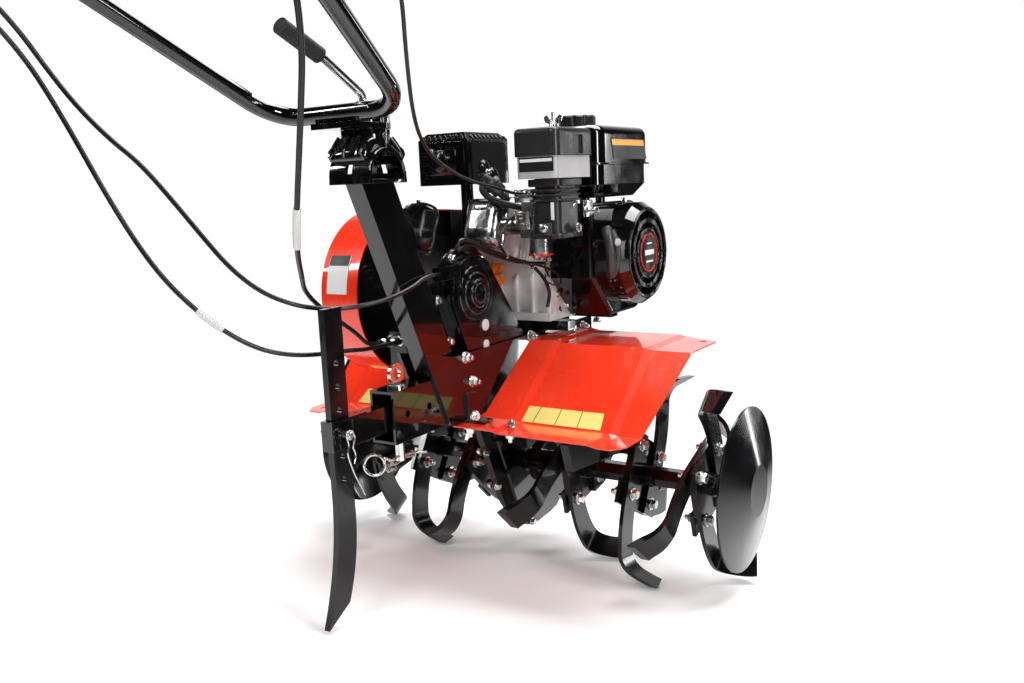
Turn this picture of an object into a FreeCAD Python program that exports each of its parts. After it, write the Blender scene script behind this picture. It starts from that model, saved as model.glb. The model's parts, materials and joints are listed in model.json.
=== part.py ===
import FreeCAD, Part
import math
import os

"""Walk-behind rotary tiller, millimetres.

It is drawn in the machine's own axes: X to the right, Y forward, Z up, with the
rotor axis over the origin and the frame rails level.  place() then tips it back
onto its drag stake and sets it on the floor, which is how it stands when parked.
"""

V = FreeCAD.Vector

# ---- driving sizes ---------------------------------------------------------
clearance = 0.3            # gap between pieces that move or seat on curved faces
running_gap = 6.0          # room left round a piece that another is cut away for

# rotor
rotor_axis_z = 170.0
tine_count = 4             # tines on each hub plate
tine_width = 42.0
tine_thickness = 7.0
tine_start = 39.0          # along a tine from its middle bolt line to where it curves
tine_curve_radius = 208.0  # of the sickle curve, in the hub's plane
tine_flat_length = 98.0    # along the curve to the sideways bend
tine_length = 177.0        # along the curve to the end
tine_bend_radius = 43.0
tine_bend_angle = 62.0     # how far a tine's end turns sideways, degrees
tine_bend_skew = -8.0      # of the bend line, degrees from square
tine_end_skew = -14.0      # of the end cut, degrees from square
hub_bolt_offset = 42.0     # centre to bolt, across and along
hub_plate_x = [99.0, 216.0, 335.0]
hub_plate_half = 62.0      # centre to the clipped corner of a hub plate
hub_plate_thickness = 6.0
hub_turn_right = [12.0, -29.0, 18.0]   # where a hub's outward tines point, degrees
hub_turn_left = [-45.0, 61.0, 12.0]    # forward of straight down
hub_half_length = 17.0
collar_length = 12.0       # that the middle hub's sleeve reaches further out
tine_edge_points = 7       # that each curved edge is drawn through
shaft_flats = 30.0         # hexagon across its flats
sleeve_radius = 20.0
disc_x = 400.0
disc_radius = 134.0
disc_dish = 20.0
disc_thickness = 3.0

# chain case
case_top_y = -193.0
case_top_z = 502.0
case_top_radius = 75.0
case_bottom_radius = 120.0
case_rim = 15.0            # width of the bolted flange round the pressed halves
case_flange_thickness = 4.0
case_half_depth = 21.7
boss_radius = 22.0
boss_reach = 32.0
boss_step_radius = 43.0
boss_step = 4.0            # that the round step stands proud of the pressing
boss_bore = 15.0
boss_bore_depth = 9.0

# frame
frame_gap = 44.0           # clear width between the two side plates
plate_thickness = 5.0
plate_top_z = 411.0
plate_bottom_z = 305.0
plate_front_y = 190.0
plate_rear_y = -338.0
rail_height = 17.0
rail_width = 26.0

# hitch box, drawbar and drag stake
hitch_rear_y = -410.0
hitch_front_y = -262.0
hitch_bottom_z = 306.0
hitch_height = 78.0
hitch_wall = 4.0
hitch_hole_radius = 5.5
hitch_hole_y = [-379.0, -328.0]
hitch_hole_z = 346.0
pin_radius = 7.0
pin_y = -376.0
drawbar_width = 24.0
drawbar_height = 38.0
drawbar_z = 345.0
drawbar_front_y = -292.0
stake_thickness = 10.0
stake_depth = 34.0
stake_rear_y = -520.0
stake_top_z = 518.0
stake_tip_z = 78.0
stake_tip_back = 34.0
stake_hole_radius = 5.0
stake_hole_pitch = 32.5
stake_holes_above = 3
stake_holes_below = 2
strap_wall = 5.0

# column and handlebar head
column_width = 30.0
column_depth = 62.0
column_wall = 3.0
column_lean = 23.5
column_top_y = -404.0
column_top_z = 680.0
saddle_radius = 40.0
saddle_wall = 5.0
saddle_width = 60.0
saddle_straight = 9.0
saddle_y = -407.0
head_height = 64.0
head_width = 62.0
head_ring_height = 20.0
head_ring_radius = 34.0
swivel_plate_thickness = 8.0
swivel_boss_radius = 27.0
swivel_boss_height = 19.0
lock_rod_radius = 5.5
lock_grip_radius = 11.0
lock_grip_length = 72.0

# handlebar
bar_radius = 12.0
bar_y = -461.0
bar_corner_x = 113.5
bar_bend_radius = 62.0
arm_spread = 0.252         # sideways run of an arm for each unit back
arm_rise = 0.617
arm_back = 560.0
grip_back = 150.0
grip_radius = 16.0
grip_length = 118.0
clamp_length = 15.0
lever_drop = 14.0
lever_length = 105.0
lever_radius = 4.0
switch_x = 266.0
switch_radius = 13.0
throttle_start_y = -967.0
cable_stop_x = 258.0
cable_stop_y = -1030.0
cable_stop_z = 1085.0

# belt cover
cover_inner_x = -108.0
cover_outer_x = -182.0
cover_rear_radius = 137.0
cover_front_radius = 80.0
cover_wall = 2.0
pulley_rear_radius = 100.0
pulley_front_radius = 42.0
pulley_width = 26.0
groove_depth = 10.0
belt_width = 10.0
shaft_radius = 12.0

# control cables
throttle_end_y = -76.0
case_lug_y = -290.0          # of the lug that takes the second left cable
case_lug_z = 541.0
adjuster_x = (-52.0, -70.0)
adjuster_z = 437.0
adjuster_front_y = -290.0
adjuster_length = 35.0
adjuster_radius = 6.0
cable_routes = {
    "cable_left_1": (6.4, (
        (-252, -1030, 1085), (-252, -1004, 1085), (-257, -966, 1053), (-260, -925, 1010),
        (-260, -866, 970), (-258, -812, 929), (-254, -765, 887), (-247, -735, 845),
        (-236, -717, 803), (-218, -699, 745), (-190, -687, 682), (-155, -677, 621),
        (-128, -663, 574), (-104, -641, 534), (-80, -613, 499), (-58, -580, 472),
        (-40, -542, 458), (-28, -495, 452), (-32, -434, 447), (-42, -394, 440),
        (-52, -356, 437), (-52, -325, 437))),
    "cable_left_2": (6.4, (
        (-264, -1030, 1085), (-264, -1004, 1085), (-267, -960, 1064), (-265, -915, 1028),
        (-261, -868, 993), (-258, -816, 953), (-253, -768, 915), (-249, -737, 878),
        (-242, -714, 838), (-222, -693, 792), (-196, -670, 750), (-172, -645, 717),
        (-146, -622, 669), (-118, -603, 621), (-88, -588, 578), (-58, -565, 544),
        (-32, -532, 524), (-22, -494, 515), (-10, -462, 512), (8, -436, 514),
        (22, -402, 519), (25, -352, 530), (20, -318, 541), (20, -290, 541))),
    "cable_right": (6.4, (
        (258, -1030, 1085), (258, -1004, 1085), (262, -966, 1052), (263, -915, 1008),
        (262, -866, 967), (259, -815, 918), (252, -776, 863), (230, -750, 806),
        (202, -729, 760), (168, -703, 714), (132, -676, 663), (100, -650, 624),
        (64, -615, 595), (22, -570, 568), (-24, -522, 541), (-36, -476, 509),
        (-45, -426, 481), (-58, -386, 460), (-70, -352, 437), (-70, -325, 437))),
    "cable_throttle": (5.0, (
        (266, -967, 1089.6), (266, -939, 1089.6), (270, -898, 1064), (270, -857, 1032),
        (266, -802, 1006), (258, -744, 982), (246, -684, 958), (231, -628, 932),
        (214, -582, 898), (198, -557, 867), (184, -539, 838), (166, -514, 803),
        (146, -485, 769), (124, -448, 740), (104, -401, 716), (89, -345, 697),
        (76, -290, 684), (66, -232, 674), (58, -172, 666), (53, -124, 658),
        (52, -98, 655), (52, -76, 655))),
}

# engine
crank_y = 127.0
crank_z = 540.0
engine_base_z = plate_top_z + rail_height
crankcase_left_x = -88.0
crankcase_right_x = 45.0
crankcase_rear_y = 12.0
crankcase_front_y = 222.0
crankcase_top_z = 632.0
crankcase_foot = 14.0
cylinder_x = -30.0
cylinder_rise = 20.0       # of its axis towards the rear, degrees
head_joint_y = -70.5       # middle of the joint between head and valve cover
head_joint_z = 604.0
head_half_width = 36.0
head_half_height = 40.0
head_depth = 40.0
fin_pitch = 10.0
fin_thickness = 3.0
fin_reach = 7.0
cover_depth = 26.0
fan_outer_x = 130.0
fan_rear_y = 8.0
fan_front_y = 232.0
fan_top_z = 634.0
fan_bottom_z = 432.0
fan_slope_z = 505.0        # where the housing's rear wall turns forward below
recoil_face_x = 179.0
recoil_radius = 91.0
recoil_wall = 3.0
recoil_slots = 6           # in each ring
recoil_rings = [(46.0, 55.0), (63.0, 75.0)]
recoil_badge_radius = 36.0
guide_z = 552.0            # of the rope guide and the starter grip
grip_size = (16.0, 17.0, 80.0)
tank_x = (32.0, 148.0)
tank_y = (3.0, 212.0)
tank_seam_z = 699.0
tank_top_z = 764.0
tank_knee_z = 664.0
tank_bottom_z = 642.0
tank_corner = 26.0
tank_shoulder = 16.0
seam_width = 6.0
cap_centre = (60.0, 95.0)
cap_radius = 33.0
cap_height = 18.0
cleaner_x = (64.0, 146.0)
cleaner_y = (-135.0, -8.0)
cleaner_base_z = 678.0
cleaner_split_z = 713.0
cleaner_top_z = 757.0
cleaner_corner = 14.0
elbow_inset = 18.0         # of the intake elbow from the cleaner's sides
elbow_bottom_z = 582.0
bellows_z = 640.0
muffler_x = (-174.0, -61.0)
muffler_y = (-78.0, 60.0)
muffler_bottom_z = 674.0
muffler_shoulder_z = 748.0
muffler_top_z = 764.0
guard_wall = 2.0
guard_corner = 14.0
outlet_x = -109.5
outlet_z = 713.0
outlet_radius = 16.0
exhaust_x = -84.0
exhaust_y = -52.0
exhaust_radius = 11.0
port_z = 596.0

# fenders
fender_inner_x = 44.0
fender_outer_x = 335.0
fender_sheet = 2.0
fender_top_z = 406.0
fender_lip_z = 299.0
fender_lip_y = -267.0
crease_x = (90.0, 258.0)   # where each crease steps the sheet down
crease_step = 3.0
crease_width = 14.0
bracket_width = 24.0
top_bracket_reach = 88.0
top_bracket_y = 16.0
lip_bracket_reach = 62.0
lip_bracket_y = -242.0

parts = {}


# ---- shape helpers ---------------------------------------------------------
def box(x0, x1, y0, y1, z0, z1):
    return Part.makeBox(x1 - x0, y1 - y0, z1 - z0, V(x0, y0, z0))


def rod(start, end, radius):
    axis = V(*end).sub(V(*start))
    return Part.makeCylinder(radius, axis.Length, V(*start), axis)


def union(shapes):
    return shapes[0].multiFuse(shapes[1:]).removeSplitter() if len(shapes) > 1 else shapes[0]


def polygon(points):
    return Part.makePolygon([V(*p) for p in points] + [V(*points[0])])


def side_prism(outline, x0, x1):
    """A solid with the (y, z) outline, between two planes across the machine."""
    face = Part.Face(polygon([(x0, y, z) for y, z in outline]))
    return face.extrude(V(x1 - x0, 0, 0))


def belt_outline(c1, r1, c2, r2, x):
    """Wire round two circles and their common tangents, in the plane X = x."""
    dy, dz = c2[0] - c1[0], c2[1] - c1[1]
    distance = math.hypot(dy, dz)
    uy, uz = dy / distance, dz / distance
    s = (r1 - r2) / distance
    c = math.sqrt(1 - s * s)
    normals = [(s * uy - side * c * uz, s * uz + side * c * uy) for side in (1, -1)]

    def on(centre, radius, n):
        return V(x, centre[0] + radius * n[0], centre[1] + radius * n[1])

    a, b = on(c1, r1, normals[0]), on(c1, r1, normals[1])
    d, e = on(c2, r2, normals[1]), on(c2, r2, normals[0])
    return Part.Wire([
        Part.Arc(a, on(c1, r1, (-uy, -uz)), b).toShape(),
        Part.LineSegment(b, d).toShape(),
        Part.Arc(d, on(c2, r2, (uy, uz)), e).toShape(),
        Part.LineSegment(e, a).toShape()])


def belt_prism(c1, r1, c2, r2, x0, x1):
    return Part.Face(belt_outline(c1, r1, c2, r2, x0)).extrude(V(x1 - x0, 0, 0))


def bent_path(points, radii):
    """Straight runs joined by tangent arcs; radii has one value per inner point."""
    points = [V(*p) for p in points]
    edges, start = [], points[0]
    for i in range(1, len(points) - 1):
        before = (points[i - 1] - points[i]).normalize()
        after = (points[i + 1] - points[i]).normalize()
        half = before.getAngle(after) / 2
        reach = radii[i - 1] / math.tan(half)
        a = points[i] + before * reach
        b = points[i] + after * reach
        inward = (before + after).normalize()
        middle = points[i] + inward * (radii[i - 1] / math.sin(half) - radii[i - 1])
        if (a - start).Length > 1e-6:
            edges.append(Part.LineSegment(start, a).toShape())
        edges.append(Part.Arc(a, middle, b).toShape())
        start = b
    edges.append(Part.LineSegment(start, points[-1]).toShape())
    return Part.Wire(edges)


def pipe(path, radius):
    start = path.Edges[0].firstVertex().Point
    along = path.Edges[0].tangentAt(path.Edges[0].FirstParameter)
    return path.makePipe(Part.Face(Part.Wire(Part.makeCircle(radius, start, along))))


def strip(points, thickness):
    """Closed outline of a bent sheet whose middle line is points, in 2D."""
    left, right = [], []
    for i, (u, v) in enumerate(points):
        normals = []
        for j in (i - 1, i):
            if 0 <= j < len(points) - 1:
                du = points[j + 1][0] - points[j][0]
                dv = points[j + 1][1] - points[j][1]
                size = math.hypot(du, dv)
                normals.append((-dv / size, du / size))
        nu = sum(n[0] for n in normals)
        nv = sum(n[1] for n in normals)
        size = math.hypot(nu, nv)
        nu, nv = nu / size, nv / size
        reach = thickness / 2 / (nu * normals[0][0] + nv * normals[0][1])
        left.append((u + nu * reach, v + nv * reach))
        right.append((u - nu * reach, v - nv * reach))
    return left + right[::-1]


def rounded_rect(x0, x1, y0, y1, z, corner):
    """Wire round a rectangle with round corners, in the plane Z = z."""
    inset = corner * (1 - math.sqrt(0.5))

    def line(a, b):
        return Part.LineSegment(V(*a, z), V(*b, z)).toShape()

    def arc(a, middle, b):
        return Part.Arc(V(*a, z), V(*middle, z), V(*b, z)).toShape()

    return Part.Wire([
        line((x0 + corner, y0), (x1 - corner, y0)),
        arc((x1 - corner, y0), (x1 - inset, y0 + inset), (x1, y0 + corner)),
        line((x1, y0 + corner), (x1, y1 - corner)),
        arc((x1, y1 - corner), (x1 - inset, y1 - inset), (x1 - corner, y1)),
        line((x1 - corner, y1), (x0 + corner, y1)),
        arc((x0 + corner, y1), (x0 + inset, y1 - inset), (x0, y1 - corner)),
        line((x0, y1 - corner), (x0, y0 + corner)),
        arc((x0, y0 + corner), (x0 + inset, y0 + inset), (x0 + corner, y0))])


def rounded_block(x0, x1, y0, y1, z0, z1, corner):
    return Part.Face(rounded_rect(x0, x1, y0, y1, z0, corner)).extrude(V(0, 0, z1 - z0))


def edges_at(shape, axis, value):
    """The edges of a shape that lie in one plane across an axis."""
    found = []
    for edge in shape.Edges:
        bounds = edge.BoundBox
        if max(abs(getattr(bounds, axis + end) - value) for end in ("Min", "Max")) < 0.01:
            found.append(edge)
    return found


def edges_through(shape, corners):
    """The straight edges along X that pass through any of the (y, z) corners."""
    found = []
    for edge in shape.Edges:
        bounds = edge.BoundBox
        at = (bounds.YMin + bounds.YMax) / 2, (bounds.ZMin + bounds.ZMax) / 2
        flat = bounds.YLength < 0.01 and bounds.ZLength < 0.01
        if flat and any(math.dist(at, corner) < 0.01 for corner in corners):
            found.append(edge)
    return found


def ring_slot(inner, outer, start, end, x0, x1):
    """A slot that is part of a ring round the X axis, angles in degrees."""
    def on(radius, angle):
        a = math.radians(angle)
        return V(x0, radius * math.cos(a), radius * math.sin(a))

    middle = (start + end) / 2
    corners = [on(inner, start), on(outer, start), on(outer, middle),
               on(outer, end), on(inner, end), on(inner, middle)]
    return Part.Face(Part.makePolygon(corners + [corners[0]])).extrude(V(x1 - x0, 0, 0))


def mirrored(shape):
    return shape.mirror(V(0, 0, 0), V(1, 0, 0))


# ---- rotor -----------------------------------------------------------------
def tine_bend():
    """Where the bend line crosses a tine's middle line, and the angle it faces."""
    turn = tine_flat_length / tine_curve_radius
    u = tine_start + tine_curve_radius * math.sin(turn)
    v = tine_curve_radius * (1 - math.cos(turn)) - hub_bolt_offset
    return u, v, turn + math.radians(tine_bend_skew)


def tine_track(along, across):
    """Where a point of the flat bar lands, in the hub's plane, once its end is bent."""
    turn = along / tine_curve_radius
    u = tine_start + (tine_curve_radius - across) * math.sin(turn)
    v = tine_curve_radius - (tine_curve_radius - across) * math.cos(turn) - hub_bolt_offset
    bend_u, bend_v, heading = tine_bend()
    beyond = (u - bend_u) * math.cos(heading) + (v - bend_v) * math.sin(heading)
    if beyond > 0:
        angle = math.radians(tine_bend_angle)
        curved = min(beyond / tine_bend_radius, angle)
        landed = tine_bend_radius * math.sin(curved)
        landed += (beyond - tine_bend_radius * curved) * math.cos(angle)
        u -= (beyond - landed) * math.cos(heading)
        v -= (beyond - landed) * math.sin(heading)
    return V(0, -v, u)


def tine(side):
    """A flat bar bolted beside the axis, curved back like a sickle, its end bent to X."""
    bend_u, bend_v, heading = tine_bend()
    origin = V(0, -bend_v, bend_u)
    outward = V(0, -math.sin(heading), math.cos(heading))
    across = V(0, math.cos(heading), math.sin(heading))
    angle = math.radians(tine_bend_angle)
    half = tine_thickness / 2

    def at(turn, offset, run=0.0):
        radius = tine_bend_radius - offset
        x = tine_bend_radius - radius * math.cos(turn) + run * math.sin(turn)
        reach = radius * math.sin(turn) + run * math.cos(turn)
        return origin + outward * reach + V(side * x, 0, 0)

    spare = tine_length
    loop = [at(0, half, -2 * spare), at(0, half), at(angle, half), at(angle, half, spare),
            at(angle, -half, spare), at(angle, -half), at(0, -half), at(0, -half, -2 * spare)]
    wire = Part.Wire([
        Part.LineSegment(loop[0], loop[1]).toShape(),
        Part.Arc(loop[1], at(angle / 2, half), loop[2]).toShape(),
        Part.LineSegment(loop[2], loop[3]).toShape(),
        Part.LineSegment(loop[3], loop[4]).toShape(),
        Part.LineSegment(loop[4], loop[5]).toShape(),
        Part.Arc(loop[5], at(angle / 2, -half), loop[6]).toShape(),
        Part.LineSegment(loop[6], loop[7]).toShape(),
        Part.LineSegment(loop[7], loop[0]).toShape()])
    sheet = Part.Face(wire).extrude(across * 2 * spare)
    sheet.translate(across * -spare)

    w = tine_width / 2
    shift_x = V(-spare, 0, 0)
    edges = []
    for offset in (-w, w):
        end = tine_length - math.tan(math.radians(tine_end_skew)) * offset
        curve = Part.BSplineCurve()
        curve.interpolate([tine_track(end * k / tine_edge_points, offset) + shift_x
                           for k in range(tine_edge_points + 1)])
        edges.append(curve)
    near, far = edges
    root = -hub_bolt_offset - w
    root_near = V(-spare, hub_bolt_offset + w, root)
    root_far = V(-spare, hub_bolt_offset - w, root)
    outline = Part.Wire([
        Part.LineSegment(root_near, near.StartPoint).toShape(), near.toShape(),
        Part.LineSegment(near.EndPoint, far.EndPoint).toShape(), far.toShape(),
        Part.LineSegment(far.StartPoint, root_far).toShape(),
        Part.LineSegment(root_far, root_near).toShape()])
    return sheet.common(Part.Face(outline).extrude(V(2 * spare, 0, 0)))


def hub_plate(x):
    side = hub_plate_half
    clip = side * 0.42
    outline = []
    for k in range(4):
        a = math.radians(90 * k)
        for u, v in ((side, -clip), (side, clip)):
            outline.append((u * math.cos(a) - v * math.sin(a), u * math.sin(a) + v * math.cos(a)))
    plate = side_prism(outline, x - hub_plate_thickness / 2, x + hub_plate_thickness / 2)
    return plate


def tine_set(x, turn):
    """One hub plate on its sleeve with its tines, alternate ones bent each way."""
    collar = collar_length if x == hub_plate_x[1] else 0
    ends = x - hub_half_length, x + hub_half_length + collar
    pieces = [hub_plate(x), rod((ends[0], 0, 0), (ends[1], 0, 0), sleeve_radius)]
    for k in range(tine_count):
        side = 1 if k % 2 == 0 else -1
        blade = tine(side)
        blade.translate(V(x + side * (hub_plate_thickness + tine_thickness) / 2, 0, 0))
        blade.rotate(V(0, 0, 0), V(1, 0, 0), 360.0 / tine_count * k)
        pieces.append(blade)
    made = union(pieces)
    made.rotate(V(0, 0, 0), V(1, 0, 0), turn)
    made = made.cut(hex_bar(ends[0] - 1, ends[1] + 1, shaft_flats + 2 * clearance))
    made.translate(V(0, 0, rotor_axis_z))
    return made


def hex_bar(x0, x1, flats):
    radius = flats / math.sqrt(3)
    outline = [(radius * math.cos(math.radians(60 * k)), radius * math.sin(math.radians(60 * k)))
               for k in range(6)]
    return side_prism(outline, x0, x1)


def rotor():
    shaft = union([
        hex_bar(-disc_x - 6, disc_x + 6, shaft_flats),
        rod((-52, 0, 0), (52, 0, 0), sleeve_radius)])
    shaft.translate(V(0, 0, rotor_axis_z))
    parts["rotor_shaft"] = shaft
    for k, x in enumerate(hub_plate_x):
        parts["tine_set_right_%d" % (k + 1)] = tine_set(x, hub_turn_right[k])
        parts["tine_set_left_%d" % (k + 1)] = mirrored(tine_set(x, hub_turn_left[k]))
    disc = plant_disc()
    parts["disc_right"] = disc
    parts["disc_left"] = mirrored(disc)


def plant_disc():
    """A dished plant-protection disc on the end of the shaft."""
    x0 = disc_x
    flat = 42.0
    profile = [(x0 + disc_dish, 16.0), (x0 + disc_dish, flat), (x0, disc_radius)]
    outline = [V(x, 0, r) for x, r in profile]
    outline += [V(x + disc_thickness, 0, r) for x, r in reversed(profile)]
    ring = Part.Face(Part.makePolygon(outline + [outline[0]]))
    dish = ring.revolve(V(0, 0, 0), V(1, 0, 0), 360)
    hub = rod((x0 - 2, 0, 0), (x0 + disc_dish + disc_thickness, 0, 0), 24.0)
    made = dish.fuse(hub).cut(hex_bar(x0 - 10, x0 + 6 + clearance, shaft_flats + 2 * clearance))
    made.translate(V(0, 0, rotor_axis_z))
    return made


# ---- chain case ------------------------------------------------------------
def chain_case():
    top = (case_top_y, case_top_z)
    bottom = (0.0, rotor_axis_z)
    flange = belt_prism(top, case_top_radius, bottom, case_bottom_radius, 0, case_flange_thickness)
    pan = belt_prism(top, case_top_radius - case_rim, bottom, case_bottom_radius - case_rim,
                     0, case_half_depth)
    boss = rod((0, case_top_y, case_top_z), (boss_reach, case_top_y, case_top_z), boss_radius)
    boss = boss.cut(rod((boss_reach - boss_bore_depth, case_top_y, case_top_z),
                        (boss_reach + 1, case_top_y, case_top_z), boss_bore))
    step = rod((0, case_top_y, case_top_z), (case_half_depth + boss_step, case_top_y, case_top_z),
               boss_step_radius)
    hub = rod((0, 0, rotor_axis_z), (boss_reach, 0, rotor_axis_z), 38.0)
    half = union([flange, pan, step, boss, hub])
    half = half.cut(rod((-1, 0, rotor_axis_z), (60, 0, rotor_axis_z), sleeve_radius + 1.0))
    lug = box(12, 28, case_lug_y, case_top_y - 47, case_lug_z - 10, case_lug_z + 10)
    parts["chain_case_right"] = union([half, lug])
    left = mirrored(half)
    seat_x = 12 - boss_reach
    shaft_room = rod((-60, case_top_y, case_top_z), (seat_x, case_top_y, case_top_z),
                     shaft_radius + clearance)
    parts["chain_case_left"] = left.cut(shaft_room)
    parts["input_shaft"] = rod((seat_x, case_top_y, case_top_z),
                               (cover_inner_x - 52, case_top_y, case_top_z), shaft_radius)


# ---- frame -----------------------------------------------------------------
def frame():
    half = frame_gap / 2
    outline = [(plate_rear_y, plate_top_z + 16), (-268, plate_top_z), (plate_front_y, plate_top_z),
               (plate_front_y, plate_top_z - 34), (40, plate_top_z - 44), (-110, plate_bottom_z),
               (-283, plate_bottom_z)]
    plate = side_prism(outline, half, half + plate_thickness)
    parts["side_plate_right"] = plate
    parts["side_plate_left"] = mirrored(plate)
    for name, y in (("rear", 12.0), ("front", crank_y + 55.0)):
        rail = box(crankcase_left_x - 6, crankcase_right_x + 30, y, y + rail_width,
                   plate_top_z, plate_top_z + rail_height)
        parts["engine_rail_%s" % name] = rail
    box_outer = box(-half, half, hitch_rear_y, hitch_front_y, hitch_bottom_z,
                    hitch_bottom_z + hitch_height)
    room = box(-half + hitch_wall, half - hitch_wall, hitch_rear_y - 1, hitch_front_y + 1,
               hitch_bottom_z + hitch_wall, hitch_bottom_z + hitch_height - hitch_wall)
    hitch = box_outer.cut(room)
    for y in hitch_hole_y:
        hitch = hitch.cut(rod((-40, y, hitch_hole_z), (40, y, hitch_hole_z), hitch_hole_radius))
    hitch = hitch.cut(rod((0, pin_y, 280), (0, pin_y, 420), pin_radius + clearance))
    parts["hitch_box"] = hitch
    top = hitch_bottom_z + hitch_height
    head = rod((0, pin_y, top), (0, pin_y, top + 5), 13.0)
    ring = rod((-3, pin_y, top + 20), (3, pin_y, top + 20), 15.5)
    ring = ring.cut(rod((-4, pin_y, top + 20), (4, pin_y, top + 20), 8.5))
    stem = rod((0, pin_y, 272), (0, pin_y, top + 5), pin_radius)
    parts["hitch_pin"] = union([stem, head, ring])


def drawbar():
    low, high = drawbar_z - drawbar_height / 2, drawbar_z + drawbar_height / 2
    rear = stake_rear_y + stake_depth + clearance
    w = drawbar_width / 2
    bar = box(-w, w, rear, drawbar_front_y, low, high)
    t = stake_thickness / 2 + clearance
    back = stake_rear_y - clearance
    strap = box(-t - strap_wall, t + strap_wall, back - strap_wall, rear + 30, low - 2, high + 2)
    strap = strap.cut(box(-t, t, back, rear, low - 10, high + 10))
    body = union([bar, strap])
    body = body.cut(rod((0, pin_y, 200), (0, pin_y, 500), pin_radius + clearance))
    y = stake_rear_y + stake_depth / 2
    body = body.cut(rod((-30, y, drawbar_z), (30, y, drawbar_z), stake_hole_radius + clearance))
    parts["drawbar"] = body


def stake():
    """A flat bar with a row of holes, curved back below to a slanted point."""
    rear, front = stake_rear_y, stake_rear_y + stake_depth
    knee = 240.0
    tip = stake_tip_z
    back = stake_tip_back
    wire = Part.Wire([
        Part.LineSegment(V(0, front, knee), V(0, front, stake_top_z)).toShape(),
        Part.LineSegment(V(0, front, stake_top_z), V(0, rear, stake_top_z)).toShape(),
        Part.LineSegment(V(0, rear, stake_top_z), V(0, rear, knee)).toShape(),
        Part.Arc(V(0, rear, knee), V(0, rear - back * 0.28, (knee + tip) / 2),
                 V(0, rear - back, tip)).toShape(),
        Part.LineSegment(V(0, rear - back, tip), V(0, front - back * 0.7, tip + 26)).toShape(),
        Part.Arc(V(0, front - back * 0.7, tip + 26), V(0, front - 3, (knee + tip) / 2 + 20),
                 V(0, front, knee)).toShape()])
    bar = Part.Face(wire).extrude(V(stake_thickness, 0, 0))
    bar.translate(V(-stake_thickness / 2, 0, 0))
    y = rear + stake_depth / 2
    for k in range(-stake_holes_below, stake_holes_above + 1):
        z = drawbar_z + k * stake_hole_pitch
        radius = stake_hole_radius + clearance
        bar = bar.cut(rod((-20, y, z), (20, y, z), radius))
    parts["drag_stake"] = bar


# ---- column and head -------------------------------------------------------
def column():
    lean = math.radians(column_lean)
    w, d = column_width / 2, column_depth / 2
    foot_z = hitch_bottom_z + hitch_height
    length = (column_top_z - foot_z) / math.cos(lean) + 60

    def bar(w, d):
        tube = box(-w, w, -d, d, -length, 40)
        tube.rotate(V(0, 0, 0), V(1, 0, 0), column_lean)
        tube.translate(V(0, column_top_y, column_top_z))
        return tube

    tube = bar(w, d).cut(bar(w - column_wall, d - column_wall))
    keep = box(-100, 100, -700, 0, foot_z, column_top_z)
    parts["column"] = tube.common(keep)
    base = column_top_z
    parts["saddle"] = saddle(base)


def arch_outline(radius, base, straight, x, y0=saddle_y):
    top = base + straight
    return Part.Wire([
        Part.LineSegment(V(x, y0 - radius, base), V(x, y0 - radius, top)).toShape(),
        Part.Arc(V(x, y0 - radius, top), V(x, y0, top + radius), V(x, y0 + radius, top)).toShape(),
        Part.LineSegment(V(x, y0 + radius, top), V(x, y0 + radius, base)).toShape(),
        Part.LineSegment(V(x, y0 + radius, base), V(x, y0 - radius, base)).toShape()])


def saddle(base):
    """A D-shaped arch across the column, open at its sides, with windows."""
    w = saddle_width / 2
    outer = Part.Face(arch_outline(saddle_radius, base, saddle_straight, -w)).extrude(V(2 * w, 0, 0))
    inner_r = saddle_radius - saddle_wall
    inner = Part.Face(arch_outline(inner_r, base + saddle_wall, saddle_straight - saddle_wall, -w - 1))
    arch = outer.cut(inner.extrude(V(2 * w + 2, 0, 0)))
    window = 12.0
    z = base + 14
    arch = arch.cut(box(-window / 2, window / 2, saddle_y - 60, saddle_y + 60, z, z + window))
    return arch


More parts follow.
